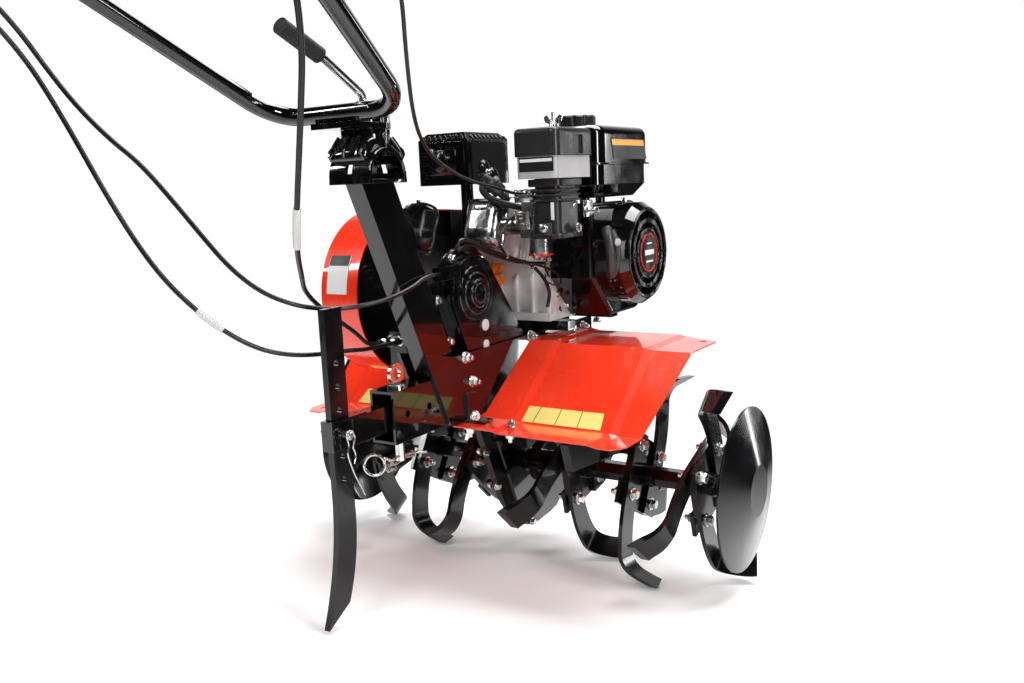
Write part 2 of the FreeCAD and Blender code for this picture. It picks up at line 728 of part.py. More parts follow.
def head():
    """The cast block that tilts on the arch, its castellated ring and the swivel plate."""
    axis_z = column_top_z + saddle_straight
    top = axis_z + head_height
    w = head_width / 2
    ring_z = top - head_ring_height
    side = side_prism([
        (saddle_y - 30, ring_z), (saddle_y + 30, ring_z), (saddle_y + 42, axis_z + 40),
        (saddle_y + 46, axis_z + 30), (saddle_y + 40, axis_z + 22), (saddle_y - 40, axis_z + 22),
        (saddle_y - 46, axis_z + 30), (saddle_y - 42, axis_z + 40)], -w, w)
    face = Part.Face(polygon([
        (x, saddle_y - 60, z) for x, z in
        ((-w + 6, ring_z), (w - 6, ring_z), (w, axis_z + 36), (w, axis_z), (-w, axis_z),
         (-w, axis_z + 36))]))
    block = side.common(face.extrude(V(0, 120, 0)))
    block = block.cut(rod((-60, saddle_y, axis_z), (60, saddle_y, axis_z), saddle_radius + clearance))
    pocket = 5.0
    for x in (-w + 4, pocket / 2 + 1):
        wide = w - 7 - pocket / 2
        block = block.cut(box(x, x + wide, saddle_y - 60, saddle_y - 42 + pocket, axis_z + 32, ring_z - 6))
        block = block.cut(box(x, x + wide, saddle_y + 42 - pocket, saddle_y + 60, axis_z + 32, ring_z - 6))
    ring = Part.makeCylinder(head_ring_radius, head_ring_height, V(0, saddle_y, ring_z))
    notches = []
    for k in range(4):
        notch = box(-60, 60, -5, 5, top - 7, top + 1)
        notch.rotate(V(0, 0, 0), V(0, 0, 1), 45 * k + 22.5)
        notch.translate(V(0, saddle_y, 0))
        notches.append(notch)
    core = Part.makeCylinder(head_ring_radius - 12, head_ring_height, V(0, saddle_y, ring_z))
    parts["head_block"] = union([block, ring.cut(notches), core])
    t = swivel_plate_thickness
    low = top + clearance
    round_end = Part.makeCylinder(36, t, V(0, saddle_y, low))
    shelf = box(-36, 36, bar_y - 14, saddle_y, low, low + t)
    boss = Part.makeCylinder(swivel_boss_radius, swivel_boss_height, V(0, saddle_y, low + t))
    boss = boss.makeChamfer(5, edges_at(boss, "Z", low + t + swivel_boss_height))
    parts["swivel_plate"] = union([round_end, shelf, boss])
    return low + t


def lock_lever(seat_z):
    """The bent rod that clamps the handlebar's swivel, with its rubber grip."""
    foot = seat_z + swivel_boss_height
    path = bent_path([(0, saddle_y, foot), (0, saddle_y, foot + 20), (0, -476, 841), (0, -486, 845.55)],
                     [14.0, 30.0])
    parts["lock_lever"] = pipe(path, lock_rod_radius)
    start, along = V(0, -486, 845.55), V(0, -66, 30).normalize()
    parts["lock_grip"] = Part.makeCylinder(
        lock_grip_radius, lock_grip_length, start + along * clearance, along)


# ---- handlebar -------------------------------------------------------------
def handlebar(seat_z):
    bar_z = seat_z + bar_radius
    end_y = bar_y - arm_back
    end_x = bar_corner_x + arm_spread * arm_back
    end_z = bar_z + arm_rise * arm_back
    tip_y = end_y - grip_back
    tip_x = end_x + 0.12 * grip_back
    tip_z = end_z + 0.12 * grip_back
    left = [(-bar_corner_x, bar_y, bar_z), (-end_x, end_y, end_z), (-tip_x, tip_y, tip_z)]
    right = [(-x, y, z) for x, y, z in left]
    points = left[::-1] + right
    radii = [70.0, bar_bend_radius, bar_bend_radius, 70.0]
    parts["handlebar"] = pipe(bent_path(points, radii), bar_radius)
    clamps, levers = [], []
    for name, side in (("right", 1), ("left", -1)):
        start = V(side * end_x, end_y, end_z)
        tip = V(side * tip_x, tip_y, tip_z)
        along = (tip - start).normalize()
        a = tip - along * grip_length
        sleeve = Part.makeCylinder(grip_radius, grip_length + 5, a, along)
        room = Part.makeCylinder(bar_radius + clearance, grip_length + 1 + clearance, a - along, along)
        parts["grip_%s" % name] = sleeve.cut(room)
        clamps.append(lever_clamp(a - along * (clamp_length + 1), along))
        levers.append(hand_lever(a - along * (clamp_length / 2 + 1), along))
    clamps.append(throttle_switch(V(end_x, end_y, end_z), V(-arm_spread, 1, -arm_rise).normalize()))
    parts["lever_clamps"] = Part.Compound(clamps)
    parts["hand_levers"] = Part.Compound(levers)


def lever_clamp(start, along):
    """A split collar on the bar with a lug below for the lever's pin."""
    down = along.cross(V(1, 0, 0)).normalize()
    down = down if down.z < 0 else down * -1
    collar = Part.makeCylinder(bar_radius + 4, clamp_length, start, along)
    middle = start + along * (clamp_length / 2)
    lug = Part.makeCylinder(7, lever_drop, middle + down * (bar_radius + 1), down)
    side = 1 if start.x > 0 else -1
    x = side * cable_stop_x
    stop = box(x - 14, x + 14, cable_stop_y - 11, cable_stop_y, cable_stop_z - 7, cable_stop_z + 20)
    web = box(x - 14, x + 14, middle.y - 4, cable_stop_y, cable_stop_z + 11, cable_stop_z + 20)
    return union([collar, lug, stop, web]).cut(
        Part.makeCylinder(bar_radius + clearance, 2 * clamp_length, start - along * 5, along))


def throttle_switch(end, along):
    """A round switch on a collar, ahead of the right grip, with its cable stop."""
    length = 18.0
    at = end + along * 45
    collar = Part.makeCylinder(bar_radius + 3, length, at - along * (length / 2), along)
    body = rod((at.x, at.y, at.z), (switch_x + 9, at.y, at.z), switch_radius)
    stop = box(switch_x - 5, switch_x + 5, at.y, throttle_start_y, at.z - 12, at.z - 2)
    room = Part.makeCylinder(bar_radius + clearance, 4 * length, at - along * (2 * length), along)
    return union([collar, body, stop]).cut(room)


def hand_lever(middle, along):
    """A bent rod under the grip, hung on the clamp's lug."""
    down = along.cross(V(1, 0, 0)).normalize()
    down = down if down.z < 0 else down * -1
    pin = middle + down * (bar_radius + 1 + lever_drop)
    points = [pin, pin + down * 20, pin + down * 20 + along * lever_length]
    path = bent_path([tuple(p) for p in points], [14.0])
    return pipe(path, lever_radius)


# ---- cables ----------------------------------------------------------------
def cord(points, diameter):
    """A tube on straight runs joined by arcs as wide as the two runs allow."""
    p = [V(*q) for q in points]
    radii = []
    for a, b, c in zip(p, p[1:], p[2:]):
        turn = (b - a).getAngle(c - b)
        radii.append(0.45 * min((b - a).Length, (c - b).Length) / math.tan(turn / 2))
    return pipe(bent_path(points, radii), diameter / 2), min(radii)


def cables():
    """Four control cables with the bracket and adjusters where two of them end."""
    for name, (diameter, points) in cable_routes.items():
        parts[name], least = cord(points, diameter)
        print(name, "least radius %.0f" % least)
    inner = -(frame_gap / 2 + plate_thickness)
    y, z = adjuster_front_y, adjuster_z
    foot = box(inner - 4, inner, y, y + 32, z - 39, z - 15)
    arm = box(adjuster_x[1] - 10, inner, y, y + 4, z - 39, z + 12)
    adjusters = [rod((x, y - adjuster_length, z), (x, y, z), adjuster_radius) for x in adjuster_x]
    parts["cable_bracket"] = union([foot, arm] + adjusters)


# ---- belt drive ------------------------------------------------------------
def belt_drive():
    rear = (case_top_y, case_top_z)
    front = (crank_y, crank_z)
    shell = belt_prism(rear, cover_rear_radius, front, cover_front_radius, cover_outer_x, cover_inner_x)
    room = belt_prism(rear, cover_rear_radius - cover_wall, front, cover_front_radius - cover_wall,
                      cover_outer_x + cover_wall, cover_inner_x + 1)
    parts["belt_cover"] = shell.cut(room)
    back_x = cover_inner_x - 2
    gap = clearance
    plate = belt_prism(rear, cover_rear_radius - cover_wall - gap, front,
                       cover_front_radius - cover_wall - gap, back_x - 3, back_x)
    plate = plate.cut(rod((-300, *rear), (0, *rear), shaft_radius + 4))
    plate = plate.cut(rod((-300, *front), (0, *front), shaft_radius + 4))
    spacers = [rod((back_x, y, z), (crankcase_left_x, y, z), 8.0)
               for y, z in ((crank_y - 46, crank_z - 36), (crank_y + 46, crank_z - 36),
                            (crank_y, crank_z + 58))]
    parts["belt_back_plate"] = union([plate] + spacers)
    middle = cover_inner_x - 35
    for name, centre, radius in (("driven", rear, pulley_rear_radius),
                                 ("engine", front, pulley_front_radius)):
        parts["pulley_%s" % name] = pulley(middle, centre, radius)
    low, high = groove_depth - clearance, clearance + 2
    half = belt_width / 2
    belt = belt_prism(rear, pulley_rear_radius - high, front, pulley_front_radius - high,
                      middle - half, middle + half)
    belt = belt.cut(belt_prism(rear, pulley_rear_radius - low, front, pulley_front_radius - low,
                               middle - belt_width, middle + belt_width))
    parts["drive_belt"] = belt
    parts["crankshaft"] = rod((crankcase_left_x, *front), (middle - pulley_width, *front), shaft_radius)


def pulley(middle, centre, radius):
    """A belt wheel with one square groove and a plain bore."""
    half = pulley_width / 2
    groove = belt_width / 2 + clearance
    y, z = centre
    wheel = rod((middle - half, y, z), (middle + half, y, z), radius)
    ring = rod((middle - groove, y, z), (middle + groove, y, z), radius + 1)
    ring = ring.cut(rod((middle - half, y, z), (middle + half, y, z), radius - groove_depth))
    return wheel.cut([ring, rod((middle - radius, y, z), (middle + radius, y, z), shaft_radius + clearance)])


# ---- engine ----------------------------------------------------------------
def engine():
    crankcase()
    cylinder()
    fan_side()
    fuel_tank()
    intake()
    exhaust()


def crankcase():
    rear, front, top = crankcase_rear_y, crankcase_front_y, crankcase_top_z
    foot_top = engine_base_z + crankcase_foot
    outline = [(rear, foot_top), (front, foot_top), (front, top - 52), (front - 38, top), (rear, top)]
    case = side_prism(outline, crankcase_left_x, crankcase_right_x)
    foot = box(crankcase_left_x, crankcase_right_x, rear - 12, front + 10, engine_base_z, foot_top)
    width = crankcase_right_x - crankcase_left_x
    ribs = []
    for share in (0.2, 0.45, 0.7, 0.95):
        x = crankcase_left_x + share * width
        ribs.append(side_prism([(rear, foot_top), (rear, foot_top + 70), (rear - 7, foot_top + 60),
                                (rear - 7, foot_top)], x - 2.5, x + 2.5))
    parts["crankcase"] = union([case, foot] + ribs)


def along_cylinder(shape):
    """Moves a shape drawn with its axis along Y, rear end at y = 0, onto the cylinder's axis."""
    shape.rotate(V(0, 0, 0), V(1, 0, 0), -cylinder_rise)
    shape.translate(V(cylinder_x, head_joint_y, head_joint_z))
    return shape


def cylinder():
    w, h = head_half_width, head_half_height
    length = 2 * crankcase_front_y
    head = box(-w, w, 0, head_depth, -h, h)
    barrel = box(-w + 2, w - 2, 0, length, 4 - h, h - 4)
    fins = [box(-w - fin_reach, w + fin_reach, y, y + fin_thickness, -h - fin_reach, h + fin_reach)
            for y in [head_depth + fin_pitch * k for k in range(7)]]
    made = along_cylinder(union([head, barrel] + fins))
    parts["cylinder"] = made.common(box(-200, 200, -200, crankcase_rear_y, 0, 900))
    flange = box(-w + 1, w - 1, -4, 0, 1 - h, h - 1)
    cover = box(-w + 5, w - 5, -cover_depth, -4, 6 - h, h - 6)
    cover = cover.makeFillet(9, [e for e in cover.Edges if e.BoundBox.YLength > 1])
    cover = cover.makeChamfer(8, edges_at(cover, "Y", -cover_depth))
    parts["valve_cover"] = along_cylinder(union([flange, cover]))


def fan_side():
    """Fan housing with its sloping rear wall, and the rope starter on its outer face."""
    inner, outer = crankcase_right_x, fan_outer_x
    top, bottom, rear, front = fan_top_z, fan_bottom_z, fan_rear_y, fan_front_y
    corners = [(front - 48, top), (front, top - 62), (front, bottom + 46), (front - 44, bottom)]
    outline = [(rear, top), (rear, fan_slope_z), (crank_y - 52, bottom)] + corners[::-1]
    housing = side_prism(outline, inner, outer)
    housing = housing.makeFillet(26, edges_through(housing, corners))
    housing = housing.makeFillet(8, edges_at(housing, "X", outer))
    posts = [rod((84, y, top - 20), (84, y, tank_bottom_z), 9) for y in (70, 130)]
    parts["fan_housing"] = union([housing] + posts)

    wall, face, radius = recoil_wall, recoil_face_x, recoil_radius
    profile = [(outer, radius - wall), (outer, radius), (face - 14, radius), (face, radius - 10),
               (face, 0), (face - wall, 0), (face - wall, radius - 10 - wall / 2),
               (face - 14 - wall / 2, radius - wall)]
    shell = Part.Face(polygon([(x, 0, r) for x, r in profile])).revolve(V(0, 0, 0), V(1, 0, 0), 360)
    badge = rod((face - wall, 0, 0), (face + 2, 0, 0), recoil_badge_radius + 3)
    shell = shell.fuse(badge).cut(rod((face + 1, 0, 0), (face + 3, 0, 0), recoil_badge_radius))
    sector = 360.0 / recoil_slots
    slots = [ring_slot(r0, r1, sector * k + 250 / r0, sector * (k + 1) - 250 / r0, face - 2 * wall, face + 1)
             for r0, r1 in recoil_rings for k in range(recoil_slots)]
    louvres = [ring_slot(radius - 2 * wall, radius + 1, a, a + 4, outer + 12, face - 18)
               for a in range(196, 256, 10)]
    shell = shell.cut(slots + louvres)
    shell.translate(V(0, crank_y, crank_z))
    guide = box(outer, face - 4, rear, crank_y - 50, guide_z - 16, guide_z + 16)
    guide = guide.cut(rod((outer - 1, crank_y, crank_z), (face, crank_y, crank_z), radius - wall))
    parts["recoil_starter"] = union([shell, guide])

    thick, wide, tall = grip_size
    grip = box(face - 4, face - 4 + thick, rear, rear + wide, guide_z - tall / 2, guide_z + tall / 2)
    grip = grip.makeChamfer(4, [e for e in grip.Edges if e.BoundBox.XMin > face])
    parts["starter_grip"] = grip


def fuel_tank():
    """Two pressed shells that meet at a flat seam, with a filler neck and a ribbed cap."""
    (x0, x1), (y0, y1), r, seam = tank_x, tank_y, tank_corner, tank_seam_z
    upper = rounded_block(x0, x1, y0, y1, seam, tank_top_z, r)
    upper = upper.makeFillet(tank_shoulder, edges_at(upper, "Z", tank_top_z))
    lower = rounded_block(x0 + 3, x1 - 3, y0 + 3, y1 - 3, tank_bottom_z, seam, r - 3)
    lower = lower.makeChamfer(tank_knee_z - tank_bottom_z, edges_at(lower, "Z", tank_bottom_z))
    w = seam_width
    rim = rounded_block(x0 - w, x1 + w, y0 - w, y1 + w, seam - 1.5, seam + 1.5, r + w)
    x, y = cap_centre
    neck_top = tank_top_z + 4
    neck = rod((x, y, tank_top_z - tank_shoulder), (x, y, neck_top), cap_radius - 7)
    parts["fuel_tank"] = union([upper, lower, rim, neck])
    cap = rod((x, y, neck_top), (x, y, neck_top + cap_height), cap_radius)
    cap = cap.makeChamfer(3, edges_at(cap, "Z", neck_top + cap_height))
    grooves = []
    for k in range(10):
        a = math.radians(36 * k)
        gx, gy = x + (cap_radius + 2) * math.cos(a), y + (cap_radius + 2) * math.sin(a)
        grooves.append(rod((gx, gy, neck_top - 1), (gx, gy, neck_top + cap_height + 1), 5))
    parts["fuel_cap"] = cap.cut(grooves)


def intake():
    """Air cleaner, its bellows elbow and the carburettor."""
    (x0, x1), (y0, y1), r = cleaner_x, cleaner_y, cleaner_corner
    split, top, low = cleaner_split_z, cleaner_top_z, cleaner_base_z
    cover = rounded_block(x0, x1, y0, y1, split, top, r)
    cover = cover.makeFillet(8, edges_at(cover, "Z", top))
    clip = box(x1 - 4, x1 + 1, y0 + 62, y0 + 88, split + 3, top - 12)
    parts["air_cleaner_cover"] = cover.cut(clip)
    parts["air_cleaner_base"] = rounded_block(x0 + 4, x1 - 3, y0 + 3, y1 - 3, low, split, r - 3)
    ex0, ex1, ey0, ey1 = x0 + elbow_inset, x1 - elbow_inset + 4, y0 + elbow_inset + 5, y1 - elbow_inset - 8
    body = rounded_block(ex0, ex1, ey0, ey1, elbow_bottom_z, bellows_z, r)
    neck = rounded_block(ex0 + 3, ex1 - 3, ey0 + 3, ey1 - 3, bellows_z, low, r - 3)
    rings = [rounded_block(ex0 - 1, ex1 + 1, ey0 - 1, ey1 + 1, z, z + 7, r)
             for z in (bellows_z + 3, bellows_z + 15, bellows_z + 27)]
    parts["intake_elbow"] = union([body, neck] + rings)
    y, z = (ey0 + ey1) / 2, elbow_bottom_z
    bowl_x = ex0 - 6
    bowl = rod((bowl_x, y, z - 33), (bowl_x, y, z), 20)
    bowl = bowl.makeChamfer(6, edges_at(bowl, "Z", z - 33))
    body = box(bowl_x - 28, ex0, y - 18, y + 18, z, z + 38)
    bowl_nut = rod((bowl_x, y, z - 38), (bowl_x, y, z - 30), 6)
    port = rod((cylinder_x + head_half_width, y, z + 20), (bowl_x - 20, y, z + 20), 16)
    tab = box(42, 66, throttle_end_y, throttle_end_y + 4, z + 30, z + 80)
    parts["carburettor"] = union([bowl, bowl_nut, body, port, tab])


def exhaust():
    """Silencer box with its slotted guard, and the pipe up from the head."""
    (x0, x1), (y0, y1), r = muffler_x, muffler_y, guard_corner
    low, shoulder, top, wall = muffler_bottom_z, muffler_shoulder_z, muffler_top_z, guard_wall
    slope = top - shoulder

    def hood(w):
        z = top - w
        line = [(x0 + w, low), (x0 + w, shoulder), (x0 + slope, z), (x1 - slope, z),
                (x1 - w, shoulder), (x1 - w, low)]
        front = Part.Face(polygon([(x, y0 - 1, z) for x, z in line])).extrude(V(0, y1 - y0 + 2, 0))
        line = [(y0 + w, low), (y0 + w, shoulder), (y0 + slope, z), (y1 - slope, z),
                (y1 - w, shoulder), (y1 - w, low)]
        side = side_prism(line, x0 - 1, x1 + 1)
        plan = rounded_block(x0 + w, x1 - w, y0 + w, y1 - w, low, top, r - w)
        return front.common(side).common(plan)

    guard = hood(0).cut(hood(wall))
    pitch = 13.0
    slots = []
    for k in range(int((x1 - x0 - 2 * r) / pitch)):
        x = x0 + r + 6 + pitch * k
        slots.append(box(x, x + 5, y0 - 1, y0 + slope - 2, shoulder + 2, top - 4))
    for k in range(int((y1 - y0 - 2 * r) / pitch)):
        y = y0 + r + 6 + pitch * k
        slots.append(box(x1 - slope + 2, x1 + 1, y, y + 5, shoulder + 2, top - 4))
        slots.append(box(x0 - 1, x0 + slope - 2, y, y + 5, shoulder + 2, top - 4))
    for k in range(5):
        z = low + 8 + 11 * k
        slots.append(box(x0 + r, x0 + r + 14, y0 - 1, y0 + 2 * wall, z, z + 4))
    outlet = V(outlet_x, y0, outlet_z)
    slots.append(rod((outlet.x, y0 - 1, outlet.z), (outlet.x, y0 + 2 * wall, outlet.z), outlet_radius + 6))
    parts["muffler_guard"] = guard.cut(slots)
    can = rounded_block(x0 + 8, x1 - 8, y0 + 8, y1 - 8, low + 4, shoulder, r)
    plate = box(outlet_x - 29, outlet_x + 29, y0 - 3, y0, outlet_z - 26, outlet_z + 26)
    pipe_out = rod((outlet.x, y0 - 8, outlet.z), (outlet.x, y0 + 10, outlet.z), outlet_radius)
    bore = rod((outlet.x, y0 - 9, outlet.z), (outlet.x, y0 + 6, outlet.z), outlet_radius - 3)
    parts["muffler"] = union([can, plate, pipe_out]).cut(bore)
    port_x = cylinder_x - head_half_width
    upright = rod((exhaust_x, exhaust_y, port_z - exhaust_radius), (exhaust_x, exhaust_y, low + 4),
                  exhaust_radius)
    stub = rod((exhaust_x, exhaust_y, port_z), (port_x, exhaust_y, port_z), exhaust_radius - 1)
    parts["exhaust_pipe"] = union([upright, stub])


# ---- fenders ---------------------------------------------------------------
def fender():
    """A bent sheet that steps down outwards at two creases, trimmed to its outline in plan."""
    top, lip = fender_top_z, fender_lip_z
    line = [(128, top - 36), (76, top), (-66, top), (-200, lip), (fender_lip_y, lip)]
    level = [strip(line, fender_sheet)]
    for k in (1, 2):
        lowered = strip(line, 2 * k * crease_step)[:len(line)]
        level.append(strip(lowered, fender_sheet))

    def crease(x, first, second):
        wires = [polygon([(at, y, z) for y, z in section])
                 for at, section in ((x, first), (x + crease_width, second))]
        return Part.makeLoft(wires, True, True)

    a, b = crease_x
    whole = union([
        side_prism(level[0], 0, a), crease(a, level[0], level[1]),
        side_prism(level[1], a + crease_width, b), crease(b, level[1], level[2]),
        side_prism(level[2], b + crease_width, fender_outer_x)])
    inner, outer = fender_inner_x, fender_outer_x
    side = frame_gap / 2 + plate_thickness
    plan = [(inner, 140), (inner, -66), (side + 4, -192), (side - 9, -204), (side - 9, -280),
            (outer - 50, -280), (outer - 26, -244), (outer - 26, -200), (outer, -66), (outer, 44),
            (outer - 60, 74), (outer - 74, 140)]
    keep = Part.Face(polygon([(x, y, lip - 60) for x, y in plan])).extrude(V(0, 0, top - lip + 120))
    holes = [rod((x, y, z - 20), (x, y, z + 20), radius) for x, y, z, radius in
             ((outer - 20, 40, top, 6), (outer - 50, -240, lip, 5))]
    return whole.common(keep).cut(holes)


def fender_brackets():
    """Angle strips bolted to the side plates: one under each fender's top, one on its lip."""
    inner = frame_gap / 2 + plate_thickness
    t = plate_thickness
    under = fender_top_z - fender_sheet / 2
    over = fender_lip_z + fender_sheet / 2
    pieces = []
    for reach, y, z0, web0, web1 in ((top_bracket_reach, top_bracket_y, under - t, under - 32, under),
                                     (lip_bracket_reach, lip_bracket_y, over, over, over + 46)):
        foot = box(inner, reach, y, y + bracket_width, z0, z0 + t)
        web = box(inner, inner + t, y, y + bracket_width, web0, web1)
        pieces.append(foot.fuse(web).removeSplitter())
    solids = [solid for piece in pieces for solid in piece.Solids]
    return Part.Compound(solids + [mirrored(solid) for solid in solids])


# ---- stance ----------------------------------------------------------------
def stance_angle():
    """Nose-up tilt at which the stake's point and the lowest tines both stand."""
    tines = [v.Point for name, shape in parts.items() if name.startswith("tine_set")
             for v in shape.Vertexes]
    point = [v.Point for v in parts["drag_stake"].Vertexes]

    def lowest(points, angle):
        return min(p.y * math.sin(angle) + p.z * math.cos(angle) for p in points)

    low, high = 0.0, math.radians(20)
    while high - low > 1e-7:
        angle = (low + high) / 2
        if lowest(point, angle) > lowest(tines, angle):
            low = angle
        else:
            high = angle
    return math.degrees(low)


def place(shapes, angle):
    """Tip every piece nose up and stand the whole on the floor, centred."""
    for shape in shapes.values():
        shape.rotate(V(0, 0, 0), V(1, 0, 0), angle)
    whole = Part.Compound(list(shapes.values())).BoundBox
    shift = V(0, -(whole.YMin + whole.YMax) / 2, -whole.ZMin)
    for shape in shapes.values():
        shape.translate(shift)
    return shift


rotor()
chain_case()
frame()
drawbar()
stake()
column()
seat_z = head()
lock_lever(seat_z)
handlebar(seat_z)
cables()
belt_drive()
engine()
right_fender = fender()
parts["fender_right"] = right_fender
around_cover = belt_prism((case_top_y, case_top_z), cover_rear_radius + running_gap,
                          (crank_y, crank_z), cover_front_radius + running_gap,
                          cover_outer_x - running_gap, 0)
parts["fender_left"] = mirrored(right_fender).cut(around_cover)
parts["fender_brackets"] = fender_brackets()

tilt = stance_angle()
shift = place(parts, tilt)
print("stance", round(tilt, 3), "shift", round(shift.y, 2), round(shift.z, 2))
os.makedirs("parts", exist_ok=True)
for name, shape in parts.items():
    solids = shape.Solids
    shape = solids[0] if len(solids) == 1 else Part.Compound(solids)
    shape.exportStep("parts/%s.step" % name)
    print(name, len(solids), round(shape.Volume / 1000, 1), shape.isValid())
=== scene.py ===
import bpy, bmesh, json, math
from mathutils import Matrix, Vector


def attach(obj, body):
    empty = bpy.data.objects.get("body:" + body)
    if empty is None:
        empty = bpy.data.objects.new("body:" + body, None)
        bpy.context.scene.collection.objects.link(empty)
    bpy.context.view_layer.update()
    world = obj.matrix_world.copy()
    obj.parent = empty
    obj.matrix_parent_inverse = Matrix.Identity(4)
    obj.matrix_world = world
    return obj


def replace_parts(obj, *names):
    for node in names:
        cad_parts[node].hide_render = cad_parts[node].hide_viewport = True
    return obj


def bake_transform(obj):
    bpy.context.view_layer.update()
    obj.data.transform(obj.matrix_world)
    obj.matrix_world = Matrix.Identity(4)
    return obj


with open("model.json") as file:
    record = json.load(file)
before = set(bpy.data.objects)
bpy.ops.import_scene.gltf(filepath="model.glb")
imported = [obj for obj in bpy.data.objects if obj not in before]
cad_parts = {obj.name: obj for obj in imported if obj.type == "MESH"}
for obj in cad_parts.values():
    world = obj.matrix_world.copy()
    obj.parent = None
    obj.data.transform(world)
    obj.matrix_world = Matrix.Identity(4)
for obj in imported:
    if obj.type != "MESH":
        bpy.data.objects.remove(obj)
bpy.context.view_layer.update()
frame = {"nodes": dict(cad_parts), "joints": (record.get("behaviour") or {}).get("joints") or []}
NODES = frame["nodes"]
JOINTS = {j["name"]: j for j in frame["joints"]}

# the machine's own axes (mm, X right, Y forward, Z up) tipped onto the stake
AXLE_Z = 170.0
STAKE_AXIS = JOINTS["stake_slide"]["axis"]
TILT = math.atan2(-STAKE_AXIS[1], STAKE_AXIS[2])
AXLE = Vector(JOINTS["rotor_spin"]["pos_m"])
MACHINE = (Matrix.Translation(AXLE) @ Matrix.Rotation(TILT, 4, "X") @ Matrix.Scale(0.001, 4)
           @ Matrix.Translation((0, 0, -AXLE_Z)))

# places that several pieces share
HEAD_Y = -407                # middle of the saddle and of the tilting head
SADDLE_Z = 689               # axis of the saddle's round back
SADDLE_RADIUS = 40
BELT_Y, BELT_Z = -193, 502   # centre of the driven pulley, its cover and the upper end of the chain case
RECOIL_Y, RECOIL_Z = 127, 540
RECOIL_FACE = 179            # x of the recoil starter's front
ELBOW = (107, -73)           # x, y of the upright intake elbow


# ---- materials ---------------------------------------------------------------
TONE_DETAIL, GLOSS_DETAIL, BUMP_DETAIL = 5.0, 6.0, 4.0


class Mat:
    """A procedural material: a principled shader with noise for colour, gloss and bump."""

    def __init__(self, name, color, rough, metallic=0.0, **sockets):
        self.material = bpy.data.materials.new(name)
        self.material.use_nodes = True
        self.tree = self.material.node_tree
        self.tree.nodes.clear()
        self.color = color
        output = self.node("ShaderNodeOutputMaterial")
        self.shader = self.node("ShaderNodeBsdfPrincipled")
        self.link(self.shader.outputs[0], output.inputs[0])
        self.shader.inputs["Base Color"].default_value = (*color, 1)
        self.shader.inputs["Roughness"].default_value = rough
        self.shader.inputs["Metallic"].default_value = metallic
        for key, value in sockets.items():
            self.shader.inputs[key.replace("_", " ")].default_value = value

    def node(self, kind, **values):
        """A new node; each value goes to its property or to its input of that name."""
        n = self.tree.nodes.new(kind)
        for key, value in values.items():
            if hasattr(n, key):
                setattr(n, key, value)
            else:
                n.inputs[key.replace("_", " ")].default_value = value
        return n

    def link(self, a, b):
        self.tree.links.new(a, b)

    def coords(self):
        return self.node("ShaderNodeTexCoord").outputs["Object"]

    def noise(self, scale, detail):
        n = self.node("ShaderNodeTexNoise", Scale=scale, Detail=detail)
        self.link(self.coords(), n.inputs["Vector"])
        return n.outputs["Fac"]

    def ramp(self, fac, low, high, start=0.35, end=0.65):
        """Colours, or grey levels, from low to high as fac goes from start to end."""
        r = self.node("ShaderNodeValToRGB")
        for k, (place, shade) in enumerate(((start, low), (end, high))):
            r.color_ramp.elements[k].position = place
            r.color_ramp.elements[k].color = (*shade, 1) if hasattr(shade, "__len__") else (shade,) * 3 + (1,)
        self.link(fac, r.inputs["Fac"])
        return r.outputs["Color"]

    def tone(self, scale, spread):
        """Colour wanders by spread round the base colour."""
        low = [c * (1 - spread) for c in self.color]
        high = [min(1, c * (1 + spread)) for c in self.color]
        self.link(self.ramp(self.noise(scale, TONE_DETAIL), low, high), self.shader.inputs["Base Color"])
        return self

    def gloss(self, scale, low, high):
        """Roughness wanders between low and high."""
        self.link(self.ramp(self.noise(scale, GLOSS_DETAIL), low, high), self.shader.inputs["Roughness"])
        return self

    def bump(self, scale, strength, distance, edge):
        """Fine unevenness, and edges that look rounded by the radius edge where it isn't 0."""
        b = self.node("ShaderNodeBump", Strength=strength, Distance=distance)
        self.link(self.noise(scale, BUMP_DETAIL), b.inputs["Height"])
        if edge:
            e = self.node("ShaderNodeBevel", Radius=edge, samples=4)
            self.link(e.outputs["Normal"], b.inputs["Normal"])
        self.link(b.outputs["Normal"], self.shader.inputs["Normal"])
        return self


COAT = dict(Coat_Weight=1.0, Coat_Roughness=0.03, Specular_IOR_Level=0.45)
THIN_COAT = dict(Coat_Weight=0.5, Coat_Roughness=0.08, Specular_IOR_Level=0.35)
